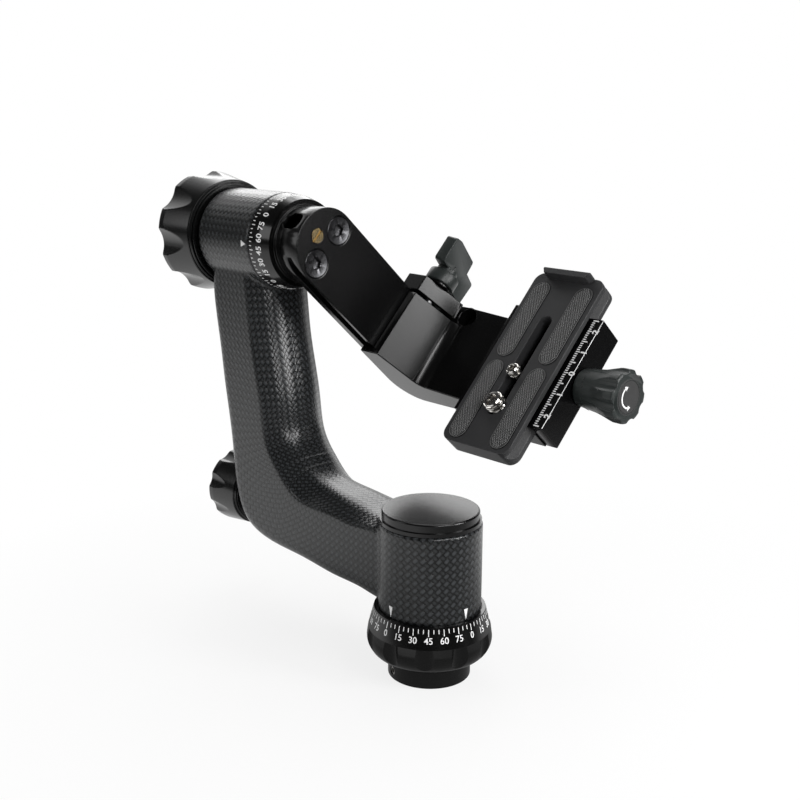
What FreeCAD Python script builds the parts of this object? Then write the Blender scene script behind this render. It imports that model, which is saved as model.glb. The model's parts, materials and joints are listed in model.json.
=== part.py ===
import FreeCAD, Part
import math
import os
import Sketcher

# Gimbal tripod head, in millimetres.
# Origin: centre of the mounting face under the neck.  +Z: up the pan axis.
# +X: along the tilt axis, from the carbon arm towards the camera platform.
#
# The swing pieces are drawn hanging straight down from the tilt axis (local X as above,
# local Y across the swing plate, local Z up) and are then turned about the tilt axis.

doc = FreeCAD.newDocument("gimbal_head")

SIZES = [
    # clearances
    ("push_gap", 0.03, "clearance of pressed and bonded pieces"),
    ("run_gap", 0.06, "radial clearance of a running fit"),
    ("slide_gap", 0.15, "clearance of sliding dovetails and faces"),
    ("lift_gap", 0.3, "gap between turning faces that don't bear"),
    # base, on the pan axis
    ("thread_radius", 4.0, "minor radius of the tripod thread"),
    ("bush_radius", 7.0, "outer radius of the thread bush"),
    ("bush_length", 10.0, "length of the thread bush"),
    ("neck_radius", 18.6, "neck below the grip ring"),
    ("neck_height", 8.8, "visible height of the neck"),
    ("base_thickness", 12.0, "base plate, bottom to top"),
    ("base_screw_radius", 2.0, "set screw in the neck"),
    ("base_screw_height", 3.6, "height of the set screw"),
    ("base_screw_angle", -106.0, "direction of the set screw"),
    ("ring_foot_radius", 21.1, "grip ring at its lower edge"),
    ("ring_belly_radius", 29.0, "corner of the grip ring's section"),
    ("ring_belly_height", 13.2, "height of that corner"),
    ("ring_belly_round", 9.0, "rounding of that corner"),
    ("ring_top_reach", 4.6, "grip ring under the dial, outside the sleeve"),
    ("ring_top_height", 22.6, "top of the grip ring"),
    ("scallop_radius", 6.0, "cutter radius of a finger scallop"),
    ("scallop_reach", 32.2, "distance of a scallop's cutter from the axis"),
    ("scallop_height", 16.4, "height of the scallops"),
    ("scallop_count", 11, "finger scallops round the grip ring"),
    ("scallop_phase", -48.5, "direction of the first scallop"),
    ("dial_rim_reach", 2.0, "rim of the pan dial outside the sleeve"),
    ("dial_top_height", 32.0, "top of the pan dial"),
    ("dial_recess", 1.6, "depth at which the sleeve sits in the dial"),
    # pan spindle
    ("spindle_radius", 9.0, "bearing journal of the pan spindle"),
    ("spindle_shoulder", 11.0, "shoulder under the lower bearing"),
    ("spindle_flange", 5.0, "thickness of the spindle's flange"),
    ("spindle_thread", 6.0, "radius of the thread at the top"),
    ("spindle_screw_circle", 14.6, "radius of the circle of flange screws"),
    ("spindle_screw_count", 4, "flange screws"),
    ("spindle_screw_shank", 1.5, "their shanks"),
    ("spindle_screw_head", 2.7, "their heads"),
    ("spindle_screw_rise", 3.0, "height of their heads"),
    ("spindle_screw_depth", 7.0, "how far they go into the base plate"),
    ("socket_depth", 2.0, "depth of a small screw's socket"),
    ("washer_thickness", 1.0, "thrust washer"),
    # bearings
    ("bearing_radius", 16.0, "outer radius of a bearing"),
    ("bearing_width", 9.0, "width of a bearing"),
    ("bearing_land", 2.4, "radial thickness of each bearing ring"),
    ("bearing_ball", 2.3, "radius of a ball"),
    ("ball_count", 8, "balls in a bearing"),
    ("lower_bearing_drop", 3.0, "lower pan bearing below the dial's top"),
    ("upper_bearing_rise", 5.4, "upper pan bearing above the pan lock's axis"),
    ("nut_height", 4.0, "retaining nut over the upper bearing"),
    ("nut_room", 3.7, "sleeve above the upper bearing"),
    # carbon arm
    ("sleeve_radius", 23.0, "outer radius of both carbon sleeves"),
    ("liner_radius", 20.5, "outer radius of the sleeve liners"),
    ("liner_bore", 13.0, "bore of the liners between the bearings"),
    ("tilt_height", 185.5, "height of the tilt axis"),
    ("tilt_sleeve_back", -142.0, "back end of the tilt sleeve"),
    ("tilt_sleeve_front", -100.4, "front end of the tilt sleeve"),
    ("limb_width", 37.0, "width of the arm's limb"),
    ("limb_outer_round", 8.0, "rounding of the limb's outer corners"),
    ("limb_crown_round", 14.0, "rounding of the limb's crowned inner face"),
    ("limb_crown_share", 0.45, "share of the limb's width that is the crown's top"),
    ("limb_crown", 8.5, "height of the crown beside the tilt sleeve"),
    ("leg_crown", 4.5, "height of the crown beside the base sleeve"),
    ("leg_clearance", 2.2, "arm's level leg above the pan dial"),
    ("leg_drop", 1.5, "top of the level leg below the sleeve's top"),
    # cap
    ("cap_rim_radius", 22.5, "lower rim of the cap"),
    ("cap_radius", 21.7, "cap above its rim"),
    ("cap_rim_height", 1.6, "height of the rim"),
    ("cap_height", 5.5, "height of the cap"),
    ("cap_round", 0.8, "rounding of the cap's edge"),
    ("cap_spigot", 2.5, "cap's spigot inside the liner"),
    ("cap_hollow", 2.4, "hollow in the cap over the nut"),
    # pan lock
    ("pan_lock_rise", 19.4, "pan lock's axis above the leg's underside"),
    ("pan_lock_face", 15.6, "pan lock knob's face, in front of the tilt sleeve's back"),
    ("pan_lock_radius", 19.0, "pan lock knob over its lobes"),
    ("pan_lock_length", 20.4, "pan lock knob, face to back"),
    ("lock_rod_radius", 3.5, "rod of the pan lock"),
    ("collar_radius", 11.0, "collar that guides the rod"),
    ("collar_length", 10.0, "length of the collar"),
    ("pad_length", 10.0, "brass pad at the rod's end"),
    # tilt lock
    ("tilt_lock_radius", 30.1, "tilt lock knob over its lobes"),
    ("tilt_lock_length", 23.2, "tilt lock knob, face to back"),
    ("tilt_washer_space", 2.3, "space for the pressure washer behind the sleeve"),
    ("tilt_washer_radius", 17.0, "pressure washer"),
    ("tilt_screw_radius", 4.0, "screw of the tilt lock"),
    ("flute_count", 8, "flutes round each knob"),
    # tilt shaft, hub and dial
    ("shaft_radius", 9.0, "tilt shaft"),
    ("shaft_end", -92.0, "front end of the tilt shaft in the hub"),
    ("hub_core_radius", 16.5, "hub inside the dial"),
    ("hub_front", -87.0, "front of the hub and the dial"),
    ("tilt_dial_back_radius", 22.7, "tilt dial beside the sleeve"),
    ("tilt_dial_crest", -92.5, "where the tilt dial bends"),
    ("tilt_dial_crest_radius", 22.05, "tilt dial at its bend"),
    ("tilt_dial_bend", 12.0, "rounding of that bend"),
    ("tilt_dial_front_radius", 20.6, "tilt dial at its front"),
    ("boss_radius", 17.4, "boss of the swing plate"),
    ("boss_shoulder_radius", 18.6, "shoulder of the boss"),
    ("boss_shoulder_front", -86.0, "front of the shoulder"),
    ("screw_pocket_centre", -79.2, "pocket across the boss and the plate"),
    ("screw_pocket_half_length", 6.2, "half the length of the pocket"),
    ("screw_pocket_half_width", 4.3, "half the width of the pocket"),
    ("screw_pocket_floor", 12.6, "floor of the pocket, from the axis"),
    ("hub_screw_radius", 2.5, "set screw in the pocket"),
    ("hub_screw_place", -81.0, "axis of the set screw"),
    ("hub_screw_start", 5.5, "inner end of the set screw, from the axis"),
    ("hub_screw_length", 8.3, "set screw"),
    ("tilt_rest", 46.9, "tilt of the swing arm as drawn"),
    # swing plate
    ("plate_back", -82.0, "back face of the swing plate"),
    ("plate_thickness", 12.0, "swing plate"),
    ("plate_half_width", 17.8, "half the width of the swing plate"),
    ("plate_drop", 72.0, "end of the swing plate below the tilt axis"),
    ("plate_flange", 2.2, "thickness of the plate's front flange"),
    ("plate_groove_depth", 3.0, "depth of the dovetail grooves in its edges"),
    ("plate_groove_start", 12.0, "how far the grooves run on above the axis"),
    ("plate_back_flange", 4.2, "thickness of the plate's back flange"),
    ("plate_screw_offset", 9.7, "screws in the plate, from the axis"),
    ("plate_screw_drop", 0.5, "those screws below the axis"),
    ("plate_screw_radius", 2.5, "shank of those screws"),
    ("plate_screw_head", 6.4, "head of those screws"),
    ("plate_screw_reach", 9.5, "how far they go in behind the plate"),
    ("stop_screw_radius", 3.35, "brass screw in the plate"),
    ("stop_screw_rise", 7.8, "brass screw above the axis"),
    ("stop_screw_length", 8.0, "length of the brass screw"),
    # platform bracket
    ("bracket_back", -77.5, "back face of the bracket's leg"),
    ("bracket_leg", 11.5, "thickness of the leg at its top"),
    ("bracket_top", 53.0, "top of the leg below the axis"),
    ("platform_top", 83.5, "top of the platform below the axis"),
    ("platform_bottom", 96.0, "bottom of the platform below the axis"),
    ("platform_end", 20.0, "free end of the platform"),
    ("bracket_near", 21.0, "half width on the fixed side"),
    ("bracket_far", 27.5, "half width on the jaw side"),
    ("bend_x", -54.4, "inner bend, before rounding"),
    ("bend_drop", 80.0, "inner bend below the axis, before rounding"),
    ("bend_inner_round", 8.0, "inner bend"),
    ("platform_level_x", -27.0, "where the platform's top levels off"),
    ("bend_outer_round", 16.0, "outer bend"),
    ("channel_floor", 84.2, "end of the channel for the swing plate"),
    ("slit_near", 16.5, "where the fixed part stops"),
    ("jaw_near", 18.1, "inner face of the height jaw"),
    ("jaw_far", 27.0, "outer face of the height jaw"),
    ("jaw_end", 77.6, "lower end of the height jaw"),
    ("jaw_room_end", 80.0, "end of the milled room round the jaw"),
    ("pocket_radius", 5.0, "round pocket milled in the bend"),
    ("pocket_x", -51.5, "place of that pocket"),
    ("pocket_floor", 88.0, "floor of that pocket"),
    # wing screw
    ("wing_x", -65.0, "axis of the wing screw"),
    ("wing_drop", 65.2, "wing screw below the tilt axis"),
    ("wing_stud_radius", 3.0, "stud of the wing screw"),
    ("wing_skirt_radius", 8.0, "skirt of the wing screw"),
    ("wing_skirt_start", 28.0, "underside of the skirt"),
    ("wing_skirt_length", 6.4, "height of the skirt"),
    ("wing_neck_radius", 5.5, "neck above the skirt"),
    ("wing_thickness", 6.0, "thickness of the wing"),
    ("wing_half_length", 11.8, "half the length of the wing"),
    ("wing_top", 52.0, "top of the wing"),
    ("wing_bottom", 36.6, "underside of the wing"),
    ("wing_lobe_length", 9.4, "lower lobe beyond the wing"),
    ("wing_lobe_top", 44.5, "top of the lower lobe"),
    ("wing_lobe_bottom", 31.0, "underside of the lower lobe"),
    ("wing_turn_angle", 14.0, "how the wing stands"),
    # quick-release plate
    ("qr_centre", 6.0, "middle of the plate"),
    ("qr_half_width", 20.0, "half the plate's width"),
    ("qr_half_length", 47.3, "half the plate's length"),
    ("qr_top", 69.8, "top of the plate below the axis"),
    ("qr_bottom", 80.0, "bottom of the plate below the axis"),
    ("qr_flange", 2.8, "thickness of the top flange"),
    ("qr_waist", 2.0, "height of the waist"),
    ("qr_dovetail", 2.8, "height and depth of the dovetail"),
    ("qr_corner", 5.0, "corner radius"),
    ("slot_half_width", 3.5, "half the slot's width"),
    ("slot_low", -30.0, "one end of the slot"),
    ("slot_high", 24.0, "other end of the slot"),
    ("head_channel", 7.4, "half width of the channel for the screw heads"),
    ("head_channel_depth", 3.5, "depth of that channel"),
    ("large_screw_radius", 4.76, "camera screw, large thread"),
    ("large_screw_place", -24.8, "its place along the plate"),
    ("large_screw_rise", 4.5, "how far it stands out"),
    ("large_screw_head", 7.0, "its head"),
    ("small_screw_radius", 3.17, "camera screw, small thread"),
    ("small_screw_place", -7.2, "its place along the plate"),
    ("small_screw_rise", 3.5, "how far it stands out"),
    ("small_screw_head", 6.0, "its head"),
    ("stud_relief", 0.5, "how much thinner the screws are inside the plate"),
    ("head_thickness", 2.4, "thickness of the screw heads"),
    ("slot_washer_thickness", 0.45, "retaining washer"),
    ("pad_half_width", 5.0, "rubber pads"),
    ("pad_run", 42.5, "length of a rubber pad"),
    ("pad_side", 12.5, "pads from the plate's middle line"),
    ("pad_low_centre", -24.2, "lower pair of pads"),
    ("pad_high_centre", 20.6, "upper pair of pads"),
    ("pad_recess", 1.0, "depth of the pads' recesses"),
    ("pad_proud", 0.4, "how far the pads stand out"),
    ("stop_half_length", 13.6, "half the length of the end stop"),
    ("stop_thickness", 3.2, "end stop"),
    ("stop_rise", 5.1, "end stop above the plate"),
    ("stop_bevel", 1.6, "bevel at the end stop's inner corners"),
    ("stop_screw_spread", 8.0, "end stop's screws from its middle"),
    ("stop_screw_radius_small", 0.8, "shank of those screws"),
    ("stop_screw_head", 1.3, "their heads"),
    ("stop_screw_sunk", 1.6, "depth of the heads in the plate"),
    # clamp
    ("clamp_back", -20.0, "back of the clamp"),
    ("clamp_half_length", 30.0, "half the clamp's length"),
    ("clamp_lip", 74.0, "top of the clamp's lips below the axis"),
    ("clamp_floor", 6.5, "seat of the clamp below the platform's top"),
    ("clamp_jaw_face", 32.5, "outer face of the clamp jaw"),
    ("clamp_axis", 84.5, "clamp screw below the tilt axis"),
    ("clamp_screw_radius", 2.5, "clamp screw"),
    ("clamp_screw_tip", 6.0, "tip of the clamp screw"),
    ("pin_radius", 2.0, "guide pins"),
    ("pin_spread", 20.0, "guide pins from the middle"),
    ("pin_tip", 9.0, "tips of the guide pins"),
    ("mount_screw_radius", 2.0, "screws that hold the clamp"),
    ("mount_screw_head", 3.6, "their heads"),
    ("mount_screw_spread_x", 11.0, "those screws from the plate's middle"),
    ("mount_screw_spread_y", 10.0, "those screws from the middle line"),
    ("clamp_knob_gap", 0.7, "clamp knob from the jaw"),
    ("clamp_knob_length", 24.0, "clamp knob"),
    ("clamp_knob_base", 8.6, "clamp knob at its base"),
    ("clamp_knob_radius", 12.0, "clamp knob over its lobes"),
]


class Length:
    """A number together with the sheet formula that gives it."""

    def __init__(self, value, formula=None):
        self.value = float(value)
        self.formula = formula or "{:.6f}".format(self.value)
        self.bound = formula is not None

    def join(self, other, sign, value):
        return Length(value, "(" + self.formula + " " + sign + " " + other.formula + ")")

    def __add__(self, other):
        other = as_length(other)
        return self.join(other, "+", self.value + other.value)

    def __radd__(self, other):
        return as_length(other) + self

    def __sub__(self, other):
        other = as_length(other)
        return self.join(other, "-", self.value - other.value)

    def __rsub__(self, other):
        return as_length(other) - self

    def __mul__(self, other):
        other = as_length(other)
        return self.join(other, "*", self.value * other.value)

    def __rmul__(self, other):
        return as_length(other) * self

    def __rtruediv__(self, other):
        return as_length(other) / self

    def __truediv__(self, other):
        other = as_length(other)
        return self.join(other, "/", self.value / other.value)

    def __neg__(self):
        return Length(-self.value, "(-" + self.formula + ")")


def as_length(number):
    return number if isinstance(number, Length) else Length(number)


def cosine(angle):
    angle = as_length(angle)
    return Length(math.cos(math.radians(angle.value)), "cos(" + angle.formula + ")")


def sine(angle):
    angle = as_length(angle)
    return Length(math.sin(math.radians(angle.value)), "sin(" + angle.formula + ")")


def diagonal(run, rise):
    value = math.hypot(run.value, rise.value)
    return Length(value, "sqrt(" + run.formula + " ^ 2 + " + rise.formula + " ^ 2)")


def slope(run, rise):
    value = math.degrees(math.atan2(rise.value, run.value))
    return Length(value, "atan2(" + rise.formula + "; " + run.formula + ")")


def fill_sheet():
    """Write the driving sizes to the sheet and give each back as a Length."""
    sheet = doc.addObject("Spreadsheet::Sheet", "Sizes")
    lengths = {}
    for row, (alias, value, note) in enumerate(SIZES, start=1):
        sheet.set("A{}".format(row), alias)
        sheet.set("B{}".format(row), str(value))
        sheet.set("C{}".format(row), note)
        sheet.setAlias("B{}".format(row), alias)
        lengths[alias] = Length(value, "Sizes." + alias)
    doc.recompute()
    return lengths


size = fill_sheet()
parts = {}


# ---- small builders ------------------------------------------------------------------


def bind(obj, path, length):
    """Tie one property of an object to a formula of the sheet."""
    length = as_length(length)
    if length.bound or "Sizes" in length.formula:
        obj.setExpression(path, length.formula)
    elif "." not in path:
        setattr(obj, path, length.value)


def place(obj, x=0, y=0, z=0, axis=(0, 0, 1), angle=0):
    """Put an object at a point, turned about one axis."""
    x, y, z, angle = as_length(x), as_length(y), as_length(z), as_length(angle)
    turn = FreeCAD.Rotation(FreeCAD.Vector(*axis), angle.value)
    obj.Placement = FreeCAD.Placement(FreeCAD.Vector(x.value, y.value, z.value), turn)
    for path, length in (("Base.x", x), ("Base.y", y), ("Base.z", z)):
        bind(obj, "Placement." + path, length)
    if "Sizes" in angle.formula:
        obj.setExpression("Placement.Rotation.Angle", angle.formula)
    return obj


ALONG = {"x": ((0, 1, 0), 90), "-x": ((0, 1, 0), -90), "y": ((1, 0, 0), -90),
         "-y": ((1, 0, 0), 90), "z": ((0, 0, 1), 0), "-z": ((1, 0, 0), 180)}


def rod(name, radius, length, x=0, y=0, z=0, along="z"):
    cylinder = doc.addObject("Part::Cylinder", name)
    bind(cylinder, "Radius", radius)
    bind(cylinder, "Height", length)
    axis, angle = ALONG[along]
    return place(cylinder, x, y, z, axis, angle)


def cone(name, start_radius, end_radius, length, x=0, y=0, z=0, along="z"):
    obj = doc.addObject("Part::Cone", name)
    bind(obj, "Radius1", start_radius)
    bind(obj, "Radius2", end_radius)
    bind(obj, "Height", length)
    axis, angle = ALONG[along]
    return place(obj, x, y, z, axis, angle)


def block(name, low, high):
    """A box from its low corner to its high corner."""
    box = doc.addObject("Part::Box", name)
    for side, a, b in zip(("Length", "Width", "Height"), low, high):
        bind(box, side, as_length(b) - as_length(a))
    return place(box, *low)


def fuse(name, shapes):
    if len(shapes) == 1:
        return shapes[0]
    joined = doc.addObject("Part::MultiFuse", name)
    joined.Shapes = shapes
    return joined


def group(name, shapes):
    """Several separate solids as one object."""
    compound = doc.addObject("Part::Compound", name)
    compound.Links = shapes
    return compound


def cut(name, base, tools):
    obj = doc.addObject("Part::Cut", name)
    obj.Base = base
    obj.Tool = fuse(name + "_tools", tools)
    return obj


def common(name, base, tool):
    obj = doc.addObject("Part::Common", name)
    obj.Base = base
    obj.Tool = tool
    return obj


def ring_of(name, tool, count, phase=0):
    """Copies of a tool turned about the local Z axis."""
    copies = []
    for index in range(int(round(count.value))):
        copy = group("{}_{}".format(name, index), [tool])
        place(copy, axis=(0, 0, 1), angle=phase + index * 360 / count)
        copies.append(copy)
    return copies


def plane_of(body, role):
    for feature in body.Origin.OriginFeatures:
        if feature.Role == role:
            return feature
    raise ValueError("no plane " + role)


def corner_tangents(points, index):
    """The corner before and after, and where a rounded corner's arc begins and ends."""
    here = points[index]
    before = points[index - 1]
    after = points[(index + 1) % len(points)]
    corner = FreeCAD.Vector(here[0].value, here[1].value, 0)
    to_before = FreeCAD.Vector(before[0].value, before[1].value, 0) - corner
    to_after = FreeCAD.Vector(after[0].value, after[1].value, 0) - corner
    to_before.normalize()
    to_after.normalize()
    half_angle = to_before.getAngle(to_after) / 2
    reach = here[2].value / math.tan(half_angle)
    start = corner + to_before * reach
    end = corner + to_after * reach
    bisector = to_before + to_after
    bisector.normalize()
    centre = corner + bisector * (here[2].value / math.sin(half_angle))
    middle = centre - bisector * here[2].value
    return corner, start, middle, end


def tie(sketch, geometry, vertex, x, y):
    """Hold one vertex of a sketch at given sheet lengths from the origin."""
    for kind, length in (("DistanceX", x), ("DistanceY", y)):
        number = sketch.addConstraint(
            Sketcher.Constraint(kind, -1, 1, geometry, vertex, length.value))
        if "Sizes" in length.formula:
            sketch.setExpression("Constraints[{}]".format(number), length.formula)


def draw_outline(sketch, outline):
    """Draw a closed outline: (x, y) for a sharp corner, (x, y, r) for a rounded one."""
    points = [tuple(as_length(number) for number in point) for point in outline]
    ends = []
    for index, point in enumerate(points):
        if len(point) == 3:
            corner, start, middle, end = corner_tangents(points, index)
            arc = sketch.addGeometry(Part.Arc(start, middle, end), False)
            turning = (start - corner).cross(end - corner).z
            first, last = (2, 1) if turning > 0 else (1, 2)
            ends.append((start, end, arc, first, last))
        else:
            here = FreeCAD.Vector(point[0].value, point[1].value, 0)
            ends.append((here, here, None, None, None))
    lines = []
    for index in range(len(points)):
        start = ends[index][1]
        end = ends[(index + 1) % len(points)][0]
        lines.append(sketch.addGeometry(Part.LineSegment(start, end), False))
    for index, point in enumerate(points):
        incoming = lines[index - 1]
        outgoing = lines[index]
        arc, first, last = ends[index][2:]
        if arc is None:
            sketch.addConstraint(Sketcher.Constraint("Coincident", incoming, 2, outgoing, 1))
            tie(sketch, outgoing, 1, point[0], point[1])
            continue
        sketch.addConstraint(Sketcher.Constraint("Tangent", incoming, 2, arc, first))
        sketch.addConstraint(Sketcher.Constraint("Tangent", arc, last, outgoing, 1))
        number = sketch.addConstraint(Sketcher.Constraint("Radius", arc, point[2].value))
        if "Sizes" in point[2].formula:
            sketch.setExpression("Constraints[{}]".format(number), point[2].formula)
        corner = FreeCAD.Vector(point[0].value, point[1].value, 0)
        mark = sketch.addGeometry(Part.Point(corner), True)
        tie(sketch, mark, 1, point[0], point[1])
        sketch.addConstraint(Sketcher.Constraint("PointOnObject", mark, 1, incoming))
        sketch.addConstraint(Sketcher.Constraint("PointOnObject", mark, 1, outgoing))


def body_sketch(body, name, role, outline, offset=0):
    sketch = body.newObject("Sketcher::SketchObject", name)
    sketch.AttachmentSupport = [(plane_of(body, role), "")]
    sketch.MapMode = "FlatFace"
    offset = as_length(offset)
    if "Sizes" in offset.formula:
        sketch.setExpression("AttachmentOffset.Base.z", offset.formula)
    elif offset.value:
        sketch.AttachmentOffset.Base.z = offset.value
    draw_outline(sketch, outline)
    return sketch


def turned(name, outline, x=0, y=0, z=0, along="z"):
    """A body turned about its local Z axis from an outline of (radius, height)."""
    body = doc.addObject("PartDesign::Body", name)
    sketch = body_sketch(body, name + "_outline", "XZ_Plane", outline)
    revolution = body.newObject("PartDesign::Revolution", name + "_turn")
    revolution.Profile = sketch
    revolution.ReferenceAxis = (plane_of(body, "Z_Axis"), [""])
    revolution.Angle = 360
    body.Tip = revolution
    axis, angle = ALONG[along]
    return place(body, x, y, z, axis, angle)


def prism(name, role, outline, start, length):
    """A body padded from an outline on one of its own planes.

    XY_Plane: outline (x, y), padded up Z.  YZ_Plane: outline (y, z), padded along X.
    XZ_Plane: outline (x, z), padded along Y from start.
    """
    body = doc.addObject("PartDesign::Body", name)
    backwards = role == "XZ_Plane"
    offset = -as_length(start) if backwards else start
    sketch = body_sketch(body, name + "_outline", role, outline, offset)
    pad = body.newObject("PartDesign::Pad", name + "_pad")
    pad.Profile = sketch
    bind(pad, "Length", length)
    pad.Reversed = backwards
    body.Tip = pad
    return body


def ring_outline(inner, outer, low, high):
    return [(inner, low), (outer, low), (outer, high), (inner, high)]


def keep(node, obj):
    """Give a finished sub-part its node name."""
    obj.Label = node
    parts[node] = obj
    return obj


def keep_swinging(node, obj):
    """A sub-part drawn hanging from the tilt axis, turned to the rest tilt."""
    place(obj, z=size["tilt_height"], axis=(1, 0, 0), angle=size["tilt_rest"])
    return keep(node, obj)


# ---- base, fixed to the tripod -------------------------------------------------------


def radial_rod(name, radius, start, length, height, angle):
    """A cylinder that lies along a radius of the Z axis."""
    pin = rod(name + "_flat", radius, length, x=start, z=height, along="x")
    turned_pin = group(name, [pin])
    return place(turned_pin, axis=(0, 0, 1), angle=angle)


def screw_circle(name, radius, low, length):
    tool = rod(name + "_one", radius, length, x=size["spindle_screw_circle"], z=low)
    return ring_of(name, tool, size["spindle_screw_count"], as_length(25))


def build_base_plate():
    plate = turned("base_plate_disc", ring_outline(
        size["bush_radius"] + size["push_gap"], size["neck_radius"], 0,
        size["base_thickness"]))
    set_screw_hole = radial_rod(
        "base_screw_hole", size["base_screw_radius"] + size["push_gap"],
        size["bush_radius"] - 1, size["neck_radius"], size["base_screw_height"],
        size["base_screw_angle"])
    tapped = screw_circle("base_tapped_hole", size["spindle_screw_shank"] + size["push_gap"],
                          size["base_thickness"] - size["spindle_screw_depth"] - 0.5, 10)
    keep("base_plate", cut("base_plate", plate, [set_screw_hole] + tapped))


def build_thread_bush():
    keep("thread_bush", turned("thread_bush", ring_outline(
        size["thread_radius"], size["bush_radius"], 0, size["bush_length"])))


def build_base_set_screw():
    start = size["bush_radius"] + size["slide_gap"]
    length = size["neck_radius"] - start - 0.4
    shank = rod("base_screw_shank", size["base_screw_radius"], length, x=start,
                z=size["base_screw_height"], along="x")
    socket = rod("base_screw_socket", size["base_screw_radius"] * 0.55, size["socket_depth"] + 1,
                 x=start + length - size["socket_depth"], z=size["base_screw_height"], along="x")
    screw = cut("base_set_screw", shank, [socket])
    keep("base_set_screw", place(screw, axis=(0, 0, 1), angle=size["base_screw_angle"]))


def ring_top_radius():
    return size["sleeve_radius"] + size["ring_top_reach"]


def build_grip_ring():
    bore = size["neck_radius"] + size["push_gap"]
    ring = turned("grip_ring_blank", [
        (bore, size["neck_height"]),
        (size["ring_foot_radius"], size["neck_height"]),
        (size["ring_belly_radius"], size["ring_belly_height"], size["ring_belly_round"]),
        (ring_top_radius(), size["ring_top_height"]),
        (bore, size["ring_top_height"])])
    scallop = rod("scallop", size["scallop_radius"], 14,
                  x=size["scallop_reach"], z=size["scallop_height"] - 7)
    scallops = ring_of("scallop_at", scallop, size["scallop_count"], size["scallop_phase"])
    keep("grip_ring", cut("grip_ring", ring, scallops))


def build_pan_dial():
    recess = size["sleeve_radius"] + 0.5
    floor = size["dial_top_height"] - size["dial_recess"] - size["lift_gap"]
    keep("pan_dial_ring", turned("pan_dial_ring", [
        (size["liner_radius"] + size["lift_gap"], size["ring_top_height"]),
        (ring_top_radius(), size["ring_top_height"]),
        (size["sleeve_radius"] + size["dial_rim_reach"], size["dial_top_height"]),
        (recess, size["dial_top_height"]),
        (recess, floor),
        (size["liner_radius"] + size["lift_gap"], floor)]))


def spindle_flange_top():
    return size["base_thickness"] + size["spindle_flange"]


def lower_bearing_base():
    return size["dial_top_height"] - size["lower_bearing_drop"]


def leg_floor():
    return size["dial_top_height"] + size["leg_clearance"]


def pan_lock_height():
    return leg_floor() + size["pan_lock_rise"]


def upper_bearing_base():
    return pan_lock_height() + size["upper_bearing_rise"]


def base_sleeve_top():
    return upper_bearing_base() + size["bearing_width"] + size["nut_room"]


def leg_top():
    return base_sleeve_top() - size["leg_drop"]


def build_spindle():
    flange_top = spindle_flange_top()
    thread_start = upper_bearing_base() + size["bearing_width"]
    spindle = turned("spindle_blank", [
        (0, size["base_thickness"]),
        (size["neck_radius"], size["base_thickness"]),
        (size["neck_radius"], flange_top),
        (size["spindle_shoulder"], flange_top),
        (size["spindle_shoulder"], lower_bearing_base()),
        (size["spindle_radius"], lower_bearing_base()),
        (size["spindle_radius"], thread_start),
        (size["spindle_thread"], thread_start),
        (size["spindle_thread"], thread_start + size["nut_height"] + 1),
        (0, thread_start + size["nut_height"] + 1)])
    through = screw_circle("spindle_hole", size["spindle_screw_shank"] + 0.1, size["base_thickness"] - 1, 8)
    sunk = screw_circle("spindle_counterbore", size["spindle_screw_head"] + 0.15,
                        flange_top - size["spindle_screw_rise"] - 0.1, 8)
    keep("pan_spindle", cut("pan_spindle", spindle, through + sunk))


def build_spindle_screws():
    head_low = spindle_flange_top() - size["spindle_screw_rise"] - 0.1
    shank = rod("spindle_shank", size["spindle_screw_shank"], head_low - size["base_thickness"]
                + size["spindle_screw_depth"], x=size["spindle_screw_circle"],
                z=size["base_thickness"] - size["spindle_screw_depth"])
    head = rod("spindle_head", size["spindle_screw_head"], size["spindle_screw_rise"],
               x=size["spindle_screw_circle"], z=head_low)
    socket = rod("spindle_socket", size["spindle_screw_shank"] * 0.85, size["socket_depth"],
                 x=size["spindle_screw_circle"],
                 z=head_low + size["spindle_screw_rise"] - size["socket_depth"] + 0.5)
    screw = cut("spindle_screw", fuse("spindle_screw_blank", [shank, head]), [socket])
    copies = ring_of("spindle_screw_at", screw, size["spindle_screw_count"], as_length(25))
    keep("spindle_screws", group("spindle_screws", copies))


def build_thrust_washer():
    low = spindle_flange_top()
    keep("thrust_washer", turned("thrust_washer", ring_outline(
        size["spindle_shoulder"] + size["run_gap"], size["neck_radius"] - 0.9,
        low, low + size["washer_thickness"])))


def build_retaining_nut():
    low = upper_bearing_base() + size["bearing_width"]
    keep("pan_retaining_nut", turned("pan_retaining_nut", ring_outline(
        size["spindle_thread"] + size["push_gap"], size["spindle_radius"] + 1.6,
        low + size["push_gap"], low + size["nut_height"])))


# ---- ball bearings -------------------------------------------------------------------


def bearing(name, x=0, z=0, along="z"):
    """Inner ring, outer ring and balls, standing on the local plane at zero."""
    gap = size["push_gap"]
    inner = size["spindle_radius"] + gap
    outer = size["bearing_radius"] - gap
    land = size["bearing_land"]
    pitch = (inner + outer) / 2
    middle = size["bearing_width"] / 2
    race = doc.addObject("Part::Torus", name + "_race")
    bind(race, "Radius1", pitch)
    bind(race, "Radius2", size["bearing_ball"] + size["run_gap"])
    place(race, z=middle)
    inner_ring = cut(name + "_inner", turned(
        name + "_inner_blank", ring_outline(inner, inner + land, 0, size["bearing_width"])),
        [race])
    outer_ring = cut(name + "_outer", turned(
        name + "_outer_blank", ring_outline(outer - land, outer, 0, size["bearing_width"])),
        [race])
    ball = doc.addObject("Part::Sphere", name + "_ball")
    bind(ball, "Radius", size["bearing_ball"])
    place(ball, x=pitch, z=middle)
    balls = ring_of(name + "_ball_at", ball, size["ball_count"], as_length(0))
    whole = group(name, [inner_ring, outer_ring] + balls)
    axis, angle = ALONG[along]
    return keep(name, place(whole, x=x, z=z, axis=axis, angle=angle))


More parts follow.
